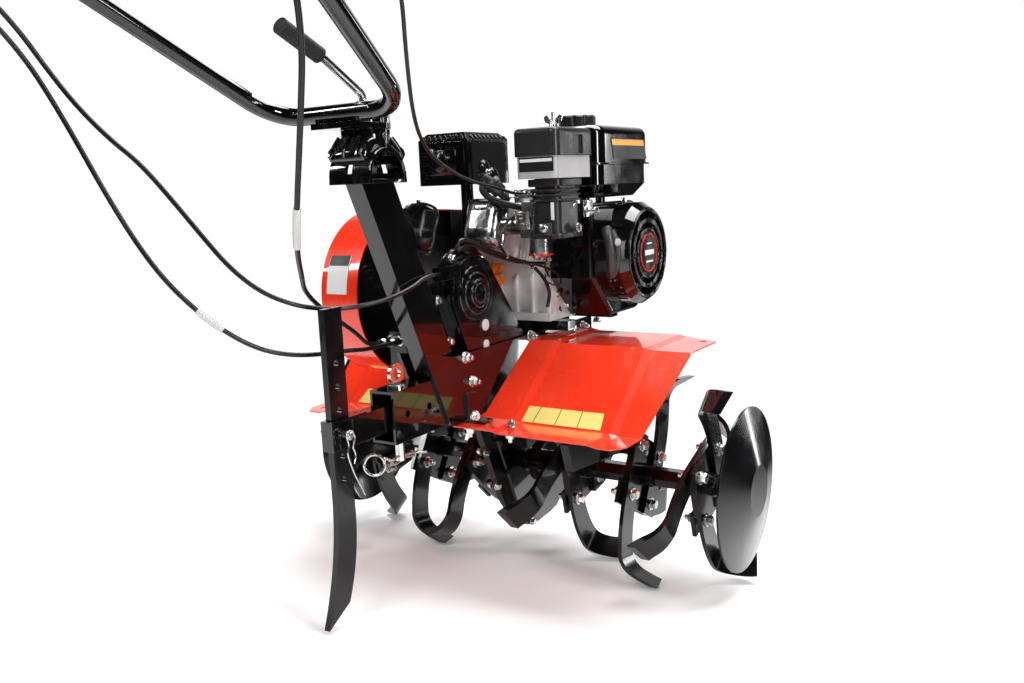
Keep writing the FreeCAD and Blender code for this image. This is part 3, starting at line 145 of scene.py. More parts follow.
# name: colour, roughness, metallic,
#       tone (scale, spread), gloss (scale, low, high), bump (scale, strength, distance), soft edge, coat
FINISHES = {
    "gloss_black": ((0.004, 0.004, 0.0045), 0.1, 0,
                    (18, 0.3), (30, 0.07, 0.15), (70, 0.04, 0.0006), 0.0014, COAT),
    "black_tube": ((0.004, 0.004, 0.0045), 0.1, 0,
                   (12, 0.3), (25, 0.06, 0.12), (30, 0.01, 0.0004), 0, COAT),
    "tine_black": ((0.006, 0.006, 0.007), 0.2, 0,
                   (14, 0.5), (22, 0.12, 0.26), (90, 0.10, 0.0007), 0.0014, THIN_COAT),
    "red_paint": ((0.95, 0.055, 0.018), 0.28, 0,
                  (6, 0.06), (14, 0.20, 0.32), (120, 0.03, 0.0006), 0.0008, COAT),
    "zinc_steel": ((0.72, 0.72, 0.70), 0.22, 1,
                   (40, 0.08), (50, 0.18, 0.28), (200, 0.01, 0.0003), 0.0006, {}),
    "cast_aluminium": ((0.74, 0.74, 0.74), 0.42, 0.08,
                       (30, 0.08), (60, 0.30, 0.46), (700, 0.2, 0.0005), 0.0016, {}),
    "rocker_chrome": ((0.50, 0.50, 0.51), 0.2, 1,
                      (30, 0.1), (40, 0.16, 0.30), (16, 0.30, 0.006), 0.002, {}),
    "bright_steel": ((0.44, 0.44, 0.45), 0.16, 1,
                     (40, 0.1), (60, 0.10, 0.22), (120, 0.04, 0.0004), 0.002, {}),
    "black_plastic": ((0.028, 0.028, 0.030), 0.3, 0,
                      (25, 0.15), (40, 0.26, 0.34), (300, 0.02, 0.0003), 0.0022, {}),
    "gloss_plastic": ((0.004, 0.004, 0.0045), 0.1, 0,
                      (25, 0.25), (30, 0.06, 0.14), (120, 0.03, 0.0004), 0.0018, COAT),
    "grip_rubber": ((0.016, 0.016, 0.016), 0.6, 0,
                    (40, 0.25), (60, 0.5, 0.7), (500, 0.25, 0.0006), 0.001, {}),
    "belt_rubber": ((0.02, 0.02, 0.02), 0.7, 0,
                    (40, 0.25), (60, 0.6, 0.8), (300, 0.3, 0.0006), 0, {}),
    "cast_iron_grey": ((0.10, 0.10, 0.10), 0.45, 0.8,
                       (30, 0.2), (60, 0.35, 0.55), (500, 0.3, 0.0006), 0, {}),
    "cable_sheath": ((0.008, 0.008, 0.008), 0.3, 0,
                     (20, 0.2), (20, 0.26, 0.34), (60, 0.01, 0.0002), 0, {}),
    # what only the scene has
    # pale grey: the starter's own button, and on the air cleaner's black gloss base a painted reflection
    "pale_plastic_and_painted_reflection": ((0.46, 0.46, 0.47), 0.35, 0,
                     (30, 0.08), (60, 0.28, 0.42), (500, 0.1, 0.0004), 0, {}),
    "white_plastic": ((0.66, 0.66, 0.65), 0.4, 0,
                      (30, 0.05), (30, 0.36, 0.46), (100, 0.02, 0.0002), 0, {}),
    "orange_plastic": ((0.90, 0.24, 0.015), 0.35, 0,
                       (40, 0.08), (60, 0.28, 0.42), (500, 0.1, 0.0004), 0, {}),
    "sign_yellow": ((0.88, 0.74, 0.24), 0.35, 0,
                    (20, 0.05), (40, 0.28, 0.42), (300, 0.05, 0.0002), 0, {}),
    "sign_white": ((0.85, 0.85, 0.84), 0.35, 0,
                   (20, 0.03), (40, 0.28, 0.42), (300, 0.05, 0.0002), 0, {}),
    "sign_orange": ((0.86, 0.42, 0.06), 0.35, 0,
                    (20, 0.05), (40, 0.28, 0.42), (300, 0.05, 0.0002), 0, {}),
    "sign_black": ((0.015, 0.015, 0.015), 0.35, 0,
                   (20, 0.2), (40, 0.28, 0.42), (300, 0.05, 0.0002), 0, {}),
    "badge_red": ((0.70, 0.03, 0.015), 0.3, 0.2,
                  (20, 0.1), (40, 0.2, 0.35), (300, 0.05, 0.0002), 0, {}),
    "boot_rubber": ((0.012, 0.012, 0.013), 0.5, 0,
                    (40, 0.25), (60, 0.4, 0.55), (300, 0.2, 0.0005), 0, {}),
}


def materials():
    made = {}
    for name, (color, rough, metallic, tone, gloss, bump, edge, coat) in FINISHES.items():
        made[name] = Mat(name, color, rough, metallic, **coat).tone(*tone).gloss(*gloss).bump(*bump, edge)
    return made


MATS = materials()
# CAD nodes whose finish isn't their slot's
# the air cleaner's base is black gloss plastic; its pale grey here is a painted reflection
OWN_FINISH = {"air_cleaner_base": "pale_plastic_and_painted_reflection", "exhaust_pipe": "gloss_black",
              "cable_bracket": "gloss_black", "carburettor": "rocker_chrome"}


def dress():
    """Every CAD node takes a procedural material, most of them that of their own slot."""
    for name, o in NODES.items():
        used = [s.name for s in o.data.materials]
        key = next((k for k in MATS if used and used[0].startswith(k)), "gloss_black")
        key = OWN_FINISH.get(name, key)
        o.data.materials.clear()
        o.data.materials.append(MATS[key].material)


# ---- small solids in the machine's own millimetres -----------------------------
CORNER_STEPS = 6             # faces round each corner of a loaf


def around(count, turn=0.0):
    """Angles evenly round a circle."""
    return [turn + 2 * math.pi * k / count for k in range(count)]


class Kit:
    """Small solids of one material, gathered into one named piece that rides on a body, or on none."""

    def __init__(self, name, mat, body="chassis"):
        self.name, self.mat, self.body = name, mat, body
        self.bm = bmesh.new()

    def skin(self, rings, closed=False):
        """Faces between rings of points, with end caps unless the last ring joins the first."""
        rows = [[self.bm.verts.new(v) for v in ring] for ring in rings]
        count = len(rows[0])
        pairs = list(zip(rows, rows[1:])) + ([(rows[-1], rows[0])] if closed else [])
        for a, b in pairs:
            for k in range(count):
                self.bm.faces.new((a[k], a[(k + 1) % count], b[(k + 1) % count], b[k]))
        if not closed:
            self.bm.faces.new(rows[0][::-1])
            self.bm.faces.new(rows[-1])

    def lathe(self, at, axis, profile, seg=20, turn=0.0):
        """A turned solid; profile is (distance along the axis, radius)."""
        at, axis = Vector(at), Vector(axis).normalized()
        u = axis.orthogonal().normalized()
        w = axis.cross(u)
        self.skin([[at + axis * d + (u * math.cos(a) + w * math.sin(a)) * r for a in around(seg, turn)]
                   for d, r in profile])

    def rod(self, a, b, r, end_r=None, seg=20, soft=0.0):
        """A round bar from a to b, with ends chamfered by soft."""
        a, b = Vector(a), Vector(b)
        length = (b - a).length
        end = r if end_r is None else end_r
        profile = [(0, r), (length, end)]
        if soft:
            profile = [(0, r - soft), (soft, r), (length - soft, end), (length, end - soft)]
        self.lathe(a, b - a, profile, seg)

    def ring(self, at, axis, radius, thick, seg=32, side=8):
        """A torus; thick is the radius of its own section."""
        at, axis = Vector(at), Vector(axis).normalized()
        u = axis.orthogonal().normalized()
        w = axis.cross(u)
        rings = []
        for a in around(seg):
            out = u * math.cos(a) + w * math.sin(a)
            rings.append([at + out * (radius + thick * math.cos(b)) + axis * thick * math.sin(b)
                          for b in around(side)])
        self.skin(rings, closed=True)

    def bolt(self, at, axis, flats=10.0, head=6.0, washer=2.0, thread=0.0):
        """A hexagon standing on at: its width, its height, its washer and any thread that shows."""
        axis = Vector(axis).normalized()
        at = Vector(at)
        r = flats / math.sqrt(3)
        if washer:
            self.lathe(at, axis, [(0, r * 1.3), (washer * 0.7, r * 1.3), (washer, r * 1.22)], 20)
        base = at + axis * washer
        self.lathe(base, axis, [(0, r), (head * 0.78, r), (head, r * 0.84)], 6, turn=at.x * 0.7 + at.z)
        if thread:
            t = flats * 0.30
            self.lathe(base, axis, [(0, t), (head + thread - 1, t), (head + thread, t * 0.75)], 12)

    def box(self, x0, x1, y0, y1, z0, z1, soft=0.0, turn=None):
        """A block with edges rounded by soft, turned about its middle by turn (axis, degrees)."""
        made = bmesh.ops.create_cube(self.bm, size=1.0)
        middle = Vector(((x0 + x1) / 2, (y0 + y1) / 2, (z0 + z1) / 2))
        place = Matrix.Translation(middle)
        if turn:
            place = place @ Matrix.Rotation(math.radians(turn[1]), 4, turn[0])
        place = place @ Matrix.Diagonal((x1 - x0, y1 - y0, z1 - z0, 1))
        bmesh.ops.transform(self.bm, matrix=place, verts=made["verts"])
        if soft:
            edges = list(dict.fromkeys(e for v in made["verts"] for e in v.link_edges))
            bmesh.ops.bevel(self.bm, geom=edges, offset=soft, segments=2, affect="EDGES", profile=0.5)

    def loaf(self, rings, at=(0, 0), turn=None):
        """Rounded rectangles (height, half x, half y, radius) stacked along Z."""
        rows = []
        for z, hx, hy, r in rings:
            row = []
            for sx, sy, start in ((1, 1, 0), (-1, 1, 90), (-1, -1, 180), (1, -1, 270)):
                for k in range(CORNER_STEPS + 1):
                    a = math.radians(start + 90 * k / CORNER_STEPS)
                    row.append(Vector((at[0] + sx * (hx - r) + r * math.cos(a),
                                       at[1] + sy * (hy - r) + r * math.sin(a), z)))
            rows.append([turn @ v for v in row] if turn else row)
        self.skin(rows)

    def plate(self, points, out, thick):
        """A flat plate from its outline, thick along out."""
        out = Vector(out).normalized() * thick
        self.skin([[Vector(p) for p in points], [Vector(p) + out for p in points]])

    def wire(self, points, r, seg=8, steps=6):
        """A tube that runs smoothly through the points."""
        line = smooth(points, steps)
        side = (line[1] - line[0]).orthogonal().normalized()
        rings = []
        for k, p in enumerate(line):
            along = (line[min(k + 1, len(line) - 1)] - line[max(k - 1, 0)]).normalized()
            side = (side - along * side.dot(along)).normalized()
            up = along.cross(side)
            rings.append([p + (side * math.cos(a) + up * math.sin(a)) * r for a in around(seg)])
        self.skin(rings)

    def done(self, smooth_angle=40):
        """Makes the piece in the row frame; edges sharper than smooth_angle stay sharp."""
        bmesh.ops.transform(self.bm, matrix=MACHINE, verts=self.bm.verts)
        bmesh.ops.recalc_face_normals(self.bm, faces=self.bm.faces)
        mesh = bpy.data.meshes.new(self.name)
        self.bm.to_mesh(mesh)
        self.bm.free()
        o = bpy.data.objects.new(self.name, mesh)
        bpy.context.scene.collection.objects.link(o)
        mesh.materials.append(MATS[self.mat].material)
        for face in mesh.polygons:
            face.use_smooth = True
        mesh.set_sharp_from_angle(angle=math.radians(smooth_angle))
        if self.body:
            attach(o, self.body)
        return o


def evaluated(o):
    """A new mesh of an object with its modifiers or its curve worked out."""
    return bpy.data.meshes.new_from_object(o.evaluated_get(bpy.context.evaluated_depsgraph_get()))


def bore(o, a, b, r):
    """Cuts a round bore from a to b out of a piece."""
    k = Kit("cutter", "gloss_black", None)
    k.rod(a, b, r, seg=64)
    cutter = k.done()
    cut = o.modifiers.new("cut", "BOOLEAN")
    cut.object = cutter
    cut.operation = "DIFFERENCE"
    mesh = evaluated(o)
    o.modifiers.clear()
    o.data = mesh
    bpy.data.objects.remove(cutter)


def smooth(points, steps):
    """Points on a Catmull-Rom line through the given ones."""
    p = [Vector(q) for q in points]
    p = [p[0] * 2 - p[1]] + p + [p[-1] * 2 - p[-2]]
    line = []
    for a, b, c, d in zip(p, p[1:], p[2:], p[3:]):
        for k in range(steps):
            t = k / steps
            line.append(0.5 * (2 * b + (c - a) * t + (2 * a - 5 * b + 4 * c - d) * t * t
                               + (3 * b - a - 3 * c + d) * t * t * t))
    line.append(p[-2])
    return line


# ---- control cables --------------------------------------------------------------
# name: diameter, points of the route from the lever to the machine
CABLES = {
    "cable_left_1": (6.4, (
        (-252, -1030, 1085), (-252, -1004, 1085), (-257, -966, 1053), (-260, -925, 1010),
        (-260, -866, 970), (-258, -812, 929), (-254, -765, 887), (-247, -735, 845),
        (-236, -717, 803), (-218, -699, 745), (-190, -687, 682), (-155, -677, 621),
        (-128, -663, 574), (-104, -641, 534), (-80, -613, 499), (-58, -580, 472),
        (-40, -542, 458), (-28, -495, 452), (-32, -434, 447), (-42, -394, 440),
        (-52, -356, 437), (-52, -325, 437))),
    "cable_left_2": (6.4, (
        (-264, -1030, 1085), (-264, -1004, 1085), (-267, -960, 1064), (-265, -915, 1028),
        (-261, -868, 993), (-258, -816, 953), (-253, -768, 915), (-249, -737, 878),
        (-242, -714, 838), (-222, -693, 792), (-196, -670, 750), (-172, -645, 717),
        (-146, -622, 669), (-118, -603, 621), (-88, -588, 578), (-58, -565, 544),
        (-32, -532, 524), (-22, -494, 515), (-10, -462, 512), (8, -436, 514),
        (22, -402, 519), (25, -352, 530), (20, -318, 541), (20, -290, 541))),
    "cable_right": (6.4, (
        (258, -1030, 1085), (258, -1004, 1085), (262, -966, 1052), (263, -915, 1008),
        (262, -866, 967), (259, -815, 918), (252, -776, 863), (230, -750, 806),
        (202, -729, 760), (168, -703, 714), (132, -676, 663), (100, -650, 624),
        (64, -615, 595), (22, -570, 568), (-24, -522, 541), (-36, -476, 509),
        (-45, -426, 481), (-58, -386, 460), (-70, -352, 437), (-70, -325, 437))),
    "cable_throttle": (5.0, (
        (266, -967, 1089.6), (266, -939, 1089.6), (270, -898, 1064), (270, -857, 1032),
        (266, -802, 1006), (258, -744, 982), (246, -684, 958), (231, -628, 932),
        (214, -582, 898), (198, -557, 867), (184, -539, 838), (166, -514, 803),
        (146, -485, 769), (124, -448, 740), (104, -401, 716), (89, -345, 697),
        (76, -290, 684), (66, -232, 674), (58, -172, 666), (53, -124, 658),
        (52, -98, 655), (52, -76, 655))),
}


def centreline(points):
    """Points along the cable's own NURBS line, in metres in the row frame."""
    data = bpy.data.curves.new("route", "CURVE")
    data.dimensions = "3D"
    data.resolution_u = 6
    line = data.splines.new("NURBS")
    line.points.add(len(points) - 1)
    for q, p in zip(line.points, points):
        q.co = (*(MACHINE @ Vector(p)), 1)
    line.order_u = 3
    line.use_endpoint_u = True
    o = bpy.data.objects.new("route", data)
    bpy.context.scene.collection.objects.link(o)
    mesh = evaluated(o)
    found = [v.co.copy() for v in mesh.vertices]
    bpy.data.objects.remove(o)
    bpy.data.meshes.remove(mesh)
    return found


SLEEVES = {"cable_left_1": (79, 85), "cable_right": (61, 70)}    # points of the line in each pale sleeve
SLEEVE_RADIUS = 4.6


def cable_tube(name, line, radius, finish="cable_sheath"):
    """A tube along a line in metres, which rides on no body."""
    k = Kit(name, finish, None)
    k.wire([MACHINE.inverted() @ p for p in line], radius, seg=12, steps=1)
    return k.done()


def cables():
    """Each cable is made in two lengths that ride on no body: a lower one towards the chassis and an upper
    one towards the handlebar.
    """
    for name, (diameter, points) in CABLES.items():
        line = centreline(points)
        middle = len(line) // 2
        for part, run, bodies in (("upper", line[middle::-1], ("head", "handlebar")),
                                  ("lower", line[:middle - 1:-1], ("chassis", "head"))):
            o = cable_tube(f"{name}_{part}", run, diameter / 2)
            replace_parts(o, name)
            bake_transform(o)
            sleeves = []
            if part == "lower" and name in SLEEVES:
                first, last = SLEEVES[name]
                sleeves.append(cable_tube(f"{name}_sleeve", line[first:last], SLEEVE_RADIUS, "white_plastic"))
                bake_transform(sleeves[0])


# ---- bolts, clips and pins --------------------------------------------------------
HUB_X = (99.0, 216.0, 335.0)
HUB_TURN = {1: (12.0, -29.0, 18.0), -1: (-45.0, 61.0, 12.0)}
BOLT_OUT = 42.0
STACK = 10.0                 # half of hub plate and tines together
SHAFT_PIN_X = 142
DISC_BOLT_X = 405


def rotor_bolts():
    """Four bolts through each hub plate and its tines, the pins on the shaft and the discs' bolts."""
    k = Kit("rotor_bolts", "zinc_steel", "rotor")
    for side in (1, -1):
        for x, turn in zip(HUB_X, HUB_TURN[side]):
            a = math.radians(turn)
            for u, v in ((1, 1), (1, -1), (-1, 1), (-1, -1)):
                y = BOLT_OUT * (u * math.cos(a) - v * math.sin(a))
                z = AXLE_Z + BOLT_OUT * (u * math.sin(a) + v * math.cos(a))
                k.bolt((side * (x + STACK), y, z), (side, 0, 0), 15, 8, 2.5)
                k.bolt((side * (x - STACK), y, z), (-side, 0, 0), 15, 9, 2.5, 7)
        k.rod((side * SHAFT_PIN_X, 0, AXLE_Z + 14), (side * SHAFT_PIN_X, 0, AXLE_Z + 22), 5)
        k.bolt((side * DISC_BOLT_X, 0, AXLE_Z), (side, 0, 0), 18, 5, 2)
    k.done()


CASE_BOLTS = ((-229, 560), (-150, 551), (-268, 499), (-245, 430), (-204, 330), (-159, 226), (-132, 158),
              (-84, 88), (-22, 57), (62, 65), (107, 140), (96, 222), (-40, 350), (-92, 440), (-124, 500))
CASE_FLANGE = 4              # half the thickness of the joined flange


def case_bolts():
    """Bolts round the flange of the pressed chain case, with their nuts on the left half."""
    k = Kit("case_bolts", "zinc_steel")
    for y, z in CASE_BOLTS:
        k.bolt((CASE_FLANGE, y, z), (1, 0, 0), 10, 6, 1.5)
        k.bolt((-CASE_FLANGE, y, z), (-1, 0, 0), 10, 6, 1.5, 3)
    k.done()


SIDE_PLATE_X = 27
RAIL_BOLT_X = 60
SIDE_PLATE_BOLTS = ((-237, 405), (-221, 363), (-40, 408), (60, 398), (150, 398))
FENDER_BOLTS = ((32, -233), (107, -234))
RAIL_BOLTS = (56, 150)
ENGINE_FOOT_BOLTS = ((40, 56), (40, 190), (-80, 56), (-80, 190))


def frame_bolts():
    """Bolts through the side plates, rails, brackets, fenders, hitch and belt plate."""
    k = Kit("frame_bolts", "zinc_steel")
    for side in (1, -1):
        for y, z in SIDE_PLATE_BOLTS:
            k.bolt((side * SIDE_PLATE_X, y, z), (side, 0, 0), 13, 8, 2, 6)
        for x, y in FENDER_BOLTS:
            k.bolt((side * x, y, 300), (0, 0, 1), 10, 7, 1.5, 3)
            k.bolt((side * (x + 6), y - 14, 296), (0, 0, -1), 12, 9, 2, 6)
        for y in RAIL_BOLTS:
            k.bolt((side * RAIL_BOLT_X, y, 407), (0, 0, 1), 11, 6, 1.5, 3)
        k.bolt((side * RAIL_BOLT_X, -262, 320), (0, -1, 0), 11, 7, 1.5, 4)
    for x, y in ENGINE_FOOT_BOLTS:
        k.bolt((x, y - 20, 442), (0, 0, 1), 12, 7, 2, 6)
    k.bolt((-113, -300, 470), (-1, 0, 0), 10, 6, 1.5)
    k.done()


PIN_Y, PIN_Z = -503, 345     # the pin that holds the stake
STAKE_CLIP_R, HITCH_CLIP_R = 1.05, 2.2


def hitch_pins():
    """The stake's pin with its spring clip, and the large clip of the hitch pin."""
    k = Kit("hitch_clips", "zinc_steel")
    k.rod((-24, PIN_Y, PIN_Z), (24, PIN_Y, PIN_Z), 4.6, soft=1)
    k.lathe((-27, PIN_Y, PIN_Z), (1, 0, 0), [(0, 7), (3, 8), (5, 8)], 20)
    k.ring((21.5, PIN_Y, PIN_Z), (1, 0, 0), 6.0, 1.2, 20)
    k.wire([(21, -507, 352), (22, -511, 345), (22, -508, 332), (22, -511, 320), (22, -507, 306),
            (22, -500, 288), (20, -488, 268), (18, -478, 252)], STAKE_CLIP_R)
    k.wire([(21, -499, 350), (23, -496, 340), (22, -500, 328), (22, -496, 316), (22, -500, 304)],
           STAKE_CLIP_R)
    k.ring((-4, -430, 279), (0.54, -0.83, 0.17), 15, HITCH_CLIP_R, 36)
    k.wire([(3, -416, 286), (3, -400, 278), (2, -386, 280), (3, -368, 279), (3, -345, 276),
            (2, -318, 269)], HITCH_CLIP_R)
    k.wire([(2, -420, 268), (1, -402, 273), (-1, -386, 269), (-2, -366, 273), (-2, -342, 270)],
           HITCH_CLIP_R)
    k.done()


# ---- engine details -----------------------------------------------------------------
SCREW = ((0, 7.5), (1.2, 7.5), (1.4, 6.2), (4.4, 6.2), (5, 5))
STUD_X, STUD_Y = 105, -70    # the air cleaner's stud and wing nut


def engine_bolts():
    """Bolts and screws of the engine, and the wing nut on the air cleaner."""
    k = Kit("engine_bolts", "zinc_steel")
    for x, y in ((38, 34), (38, 70), (38, 190), (-60, 34), (-60, 190)):
        k.bolt((x, y, 443), (0, 0, 1), 11, 7, 2, 5)
    for y, z in ((30, 474), (61, 450), (24, 600), (110, 457), (200, 480), (150, 470)):
        k.bolt((45, y, z), (1, 0, 0), 9, 5, 1.2)
    for x, z in ((-84, 436), (-34, 436), (20, 436)):
        k.bolt((x, 11, z), (0, -1, 0), 10, 6, 1.5)
    for y, z in ((76, 580), (91, 490), (196, 470), (208, 596), (127, 634)):
        k.bolt((131, y, z), (1, 0, 0), 9, 5, 1.2)
    k.bolt((-54, -30, 694), (1, 0, 0), 8, 5, 1.2)
    k.bolt((-135, -83, 732), (0, -1, 0), 7, 4, 1, 2)
    k.lathe((116, -130, 600), (0, -1, 0.1), SCREW, 24)
    k.lathe((141, -62, 597), (1, 0, 0.1), SCREW, 24)
    k.lathe((90, -73, 549), (0, 0, -1), [(0, 6), (5, 6), (6, 5)], 6)
    k.bolt((78, -90, 553), (-0.3, -1, 0), 8, 6, 1)
    k.rod((STUD_X, STUD_Y, 757), (STUD_X, STUD_Y, 783), 2.6)
    k.lathe((STUD_X, STUD_Y, 757), (0, 0, 1), [(0, 11), (1.5, 11), (2, 8), (5, 6.5), (12, 5.5), (13, 4)], 20)
    for side in (-1, 1):
        wing = ((4, 763), (15, 768), (17, 776), (12, 779), (4, 771))
        k.plate([(STUD_X + side * x, STUD_Y, z) for x, z in wing], (0, 1, 0), 2.4)
    k.done()


def governor_links():
    """Brackets, screws, links and the long spring of the governor and throttle."""
    k = Kit("governor_links", "zinc_steel")
    k.box(44, 70, -97, -94, 596, 626, 1)
    k.box(46, 62, -97, -84, 608, 611)
    k.box(50, 68, -99, -97, 600, 606, 0.5)
    k.bolt((52, -97, 617), (0, -1, 0), 6, 4, 1)
    k.bolt((64, -97, 603), (0, -1, 0), 6, 4, 1)
    k.wire([(40, -92, 628), (42, -94, 612), (46, -95, 604)], 1.2)
    k.box(30, 66, -78, -75, 640, 662, 0.8)
    k.box(30, 60, -92, -78, 648, 650)
    k.bolt((38, -80, 655), (0, -1, 0), 7, 5, 1)
    k.bolt((56, -84, 655), (0, -1, 0), 7, 5, 1)
    k.wire([(52, -84, 655), (46, -60, 650), (30, -20, 645), (22, 10, 640)], 1.0)
    turns, steps = 9, 8
    coil = []
    for j in range(turns * steps + 1):
        a = 2 * math.pi * j / steps
        t = j / (turns * steps)
        coil.append((20 + 30 * t, 2 - 4 * math.cos(a), 636 + 8 * t + 4 * math.sin(a)))
    k.wire(coil, 0.7, seg=6, steps=2)
    k.wire([(124, -40, 640), (132, -52, 638), (134, -64, 632)], 1.2)
    k.box(133, 136, -30, 2, 612, 640, 0.8)
    k.box(134, 150, -6, -3, 618, 624, 0.8)
    k.bolt((136, -22, 626), (1, 0, 0), 7, 4, 1)
    k.done()


def oil_caps():
    """The filler cap and the dipstick low on the crankcase."""
    k = Kit("oil_caps", "orange_plastic")
    for z, turn in ((524, 0.0), (498, 0.5)):
        k.lathe((-65, 12, z), (0.15, -1, 0.1), [(0, 9), (10, 9), (11, 12.5), (19, 12.5), (21, 10)], 14, turn)
        k.box(-68, -62, -13, -1, z - 12, z + 12, 1)
    k.done()


def rocker_cover():
    """The domed chrome rocker cover with its two ribs and four bolts."""
    k = Kit("rocker_cover", "rocker_chrome")
    place = (Matrix.Translation((-30, -70.5, 604)) @ Matrix.Rotation(math.radians(-20), 4, "X")
             @ Matrix.Rotation(math.radians(90), 4, "X"))
    k.loaf([(0, 38, 45, 10), (3.5, 38, 45, 10), (4.5, 36, 43, 11), (10, 36, 43, 12), (19, 34, 41, 13),
            (26, 30, 36, 13), (30, 24, 30, 12), (31.5, 15, 21, 9)], turn=place)
    for height in (-17, 19):
        k.loaf([(24, 21, 1.6, 1.5), (32, 21, 1.6, 1.5), (33, 20, 0.8, 0.7)], at=(0, height), turn=place)
    out = place.to_3x3() @ Vector((0, 0, 1))
    for x, y in ((-31, -36), (31, -36), (-31, 36), (31, 36)):
        k.bolt(place @ Vector((x, y, 4)), out, 9, 6, 1.5)
    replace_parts(k.done(60), "valve_cover")


def elbow_collars():
    """Collars and bellows of the intake elbow, and its two screw bosses."""
    k = Kit("elbow_collars", "black_plastic")
    chamfer = 1.2
    for z, high, out in ((665, 12, 5.0), (657, 4, 3.2), (649, 4, 3.2), (641, 4, 3.2), (582, 8, 4.5)):
        hx, hy = 26 + out, 40 + out
        k.loaf([(z, hx - chamfer, hy - chamfer, 14), (z + chamfer, hx, hy, 15),
                (z + high - chamfer, hx, hy, 15), (z + high, hx - chamfer, hy - chamfer, 14)], at=ELBOW)
    k.rod((116, -121, 588), (116, -121, 608), 9, soft=1)
    k.rod((133, -62, 584), (133, -62, 597), 8, soft=1)
    k.done()


def bowl_tag():
    """The red band round the carburettor's bowl."""
    k = Kit("bowl_tag", "badge_red")
    k.lathe((75, -73, 552), (0, 0, 1), [(0, 19.6), (0.6, 20.6), (4.4, 20.6), (5, 19.6)], 36)
    k.done()


def case_dish():
    """Pressed rings round the bearing at the upper end of the chain case."""
    k = Kit("case_dish", "gloss_black")
    for side in (1, -1):
        for x, r, thick in ((22, 41.5, 2.6), (26, 33, 1.6), (30, 21.5, 2.2), (31, 15.5, 1.6)):
            k.ring((side * x, BELT_Y, BELT_Z), (1, 0, 0), r, thick, 56, 10)
    k.done(60)


def belt_fan_shroud():
    """The rimmed black plate on the inner side of the belt cover."""
    k = Kit("belt_fan_shroud", "gloss_black")
    x = -86
    rim = [(x, -231, 640), (x, -190, 646), (x, -149, 632), (x, -160, 594), (x, -175, 564),
           (x, -200, 572), (x, -214, 600)]
    k.plate(rim, (1, 0, 0), 7)
    k.wire([(x + 7, y, z) for _, y, z in rim + rim[:2]], 2.4, seg=8)
    k.rod((x, -189, 632), (x, -189, 652), 3.4, soft=1)
    k.done()


def muffler_trim():
    """The outlet's plate and collar, two domed buttons and the louvres along the guard's top edges."""
    k = Kit("muffler_trim", "tine_black")
    k.box(-141, -84, -83, -79, 691, 735, 2)
    k.lathe((-112, -80, 713), (0, -1, 0), [(0, 18.5), (3, 18.5), (4, 16.5), (10, 16.5), (11, 15)], 32)
    for y, z in ((-29, 701), (-3, 688)):
        k.lathe((-61.5, y, z), (1, 0, 0), [(0, 15), (2, 15), (5, 12), (8, 7), (8.5, 5)], 28)
    for j in range(9):
        y = -58 + 13 * j
        k.box(-72, -62, y, y + 4, 750, 757, 1, turn=("Y", 45))
    for j in range(8):
        x = -160 + 11.5 * j
        k.box(x, x + 4, -76, -66, 750, 758, 1, turn=("X", -45))
    k.done()


def plug_shield():
    """The spark plug, its cap and its shield."""
    k = Kit("plug_shield", "cast_iron_grey")
    k.lathe((-12, -86, 678), (0.55, 0.35, -0.75),
            [(0, 13), (3, 15), (9, 15), (11, 13), (24, 13), (27, 11)], 24)
    k.box(-16, 2, -92, -80, 658, 672, 2)
    k.rod((-6, -80, 664), (8, -62, 644), 6)
    k.lathe((2, -70, 652), (0.55, 0.6, -0.75), [(0, 10), (6, 10), (8, 8)], 6)
    k.done()


def rubber_hoses():
    """The plug's boot and lead, and the short breather hose."""
    k = Kit("rubber_hoses", "boot_rubber")
    k.wire([(-18, -96, 676), (-16, -104, 664), (-6, -98, 650), (12, -84, 640), (34, -66, 632),
            (50, -58, 628)], 5.5, seg=12)
    k.wire([(60, -30, 664), (74, -14, 660), (86, 2, 656), (98, 14, 652)], 4.0, seg=10)
    k.rod((-24, -92, 684), (-6, -80, 668), 10, 11, soft=2)
    k.done()


def thin_wires():
    """The ignition and stop wires, and the fuel line."""
    k = Kit("thin_wires", "cable_sheath")
    k.wire([(36, -68, 624), (26, -92, 612), (20, -110, 590), (20, -112, 571), (24, -96, 553),
            (34, -82, 543)], 2.2)
    k.wire([(20, -236, 578), (22, -222, 588), (30, -196, 582), (36, -168, 568), (44, -134, 557),
            (48, -110, 548), (50, -72, 538), (50, -36, 517), (50, -14, 496), (50, -8, 476),
            (49, -14, 456)], 3.2)
    k.wire([(20, -232, 572), (26, -206, 580), (36, -168, 563), (48, -118, 546), (58, -80, 540),
            (60, -40, 536)], 2.6)
    k.wire([(50, -90, 541), (52, -60, 536), (56, -30, 528), (62, -6, 517), (62, 10, 506)], 2.2)
    k.wire([(58, -24, 520), (60, 4, 528), (62, 44, 531), (64, 64, 524), (62, 58, 508), (60, 30, 495),
            (58, -2, 494), (56, -26, 504), (57, -30, 516)], 1.3)
    k.wire([(78, -55, 557), (72, -48, 545), (66, -46, 530), (64, -30, 512)], 1.8)
    k.done()


def wire_clips():
    """Two clips round the wires."""
    k = Kit("wire_clips", "bright_steel")
    k.ring((44, -132, 556), (0.2, 1, -0.3), 4.6, 1.2, 16, 6)
    k.ring((50, -60, 533), (0.1, 1, -0.5), 4.6, 1.2, 16, 6)
    k.done()


# ---- blank signs, badge and small trim ------------------------------------------------
FENDER_OUT = Vector((0, -0.6239, 0.7813))     # straight out of the fender's sloping rear
FENDER_EDGE_Y, FENDER_EDGE_Z = -66, 404.0
FENDER_SLOPE = 105.0 / 134.0
SIGN_SINK, SIGN_THICK = 2.9, 1.4


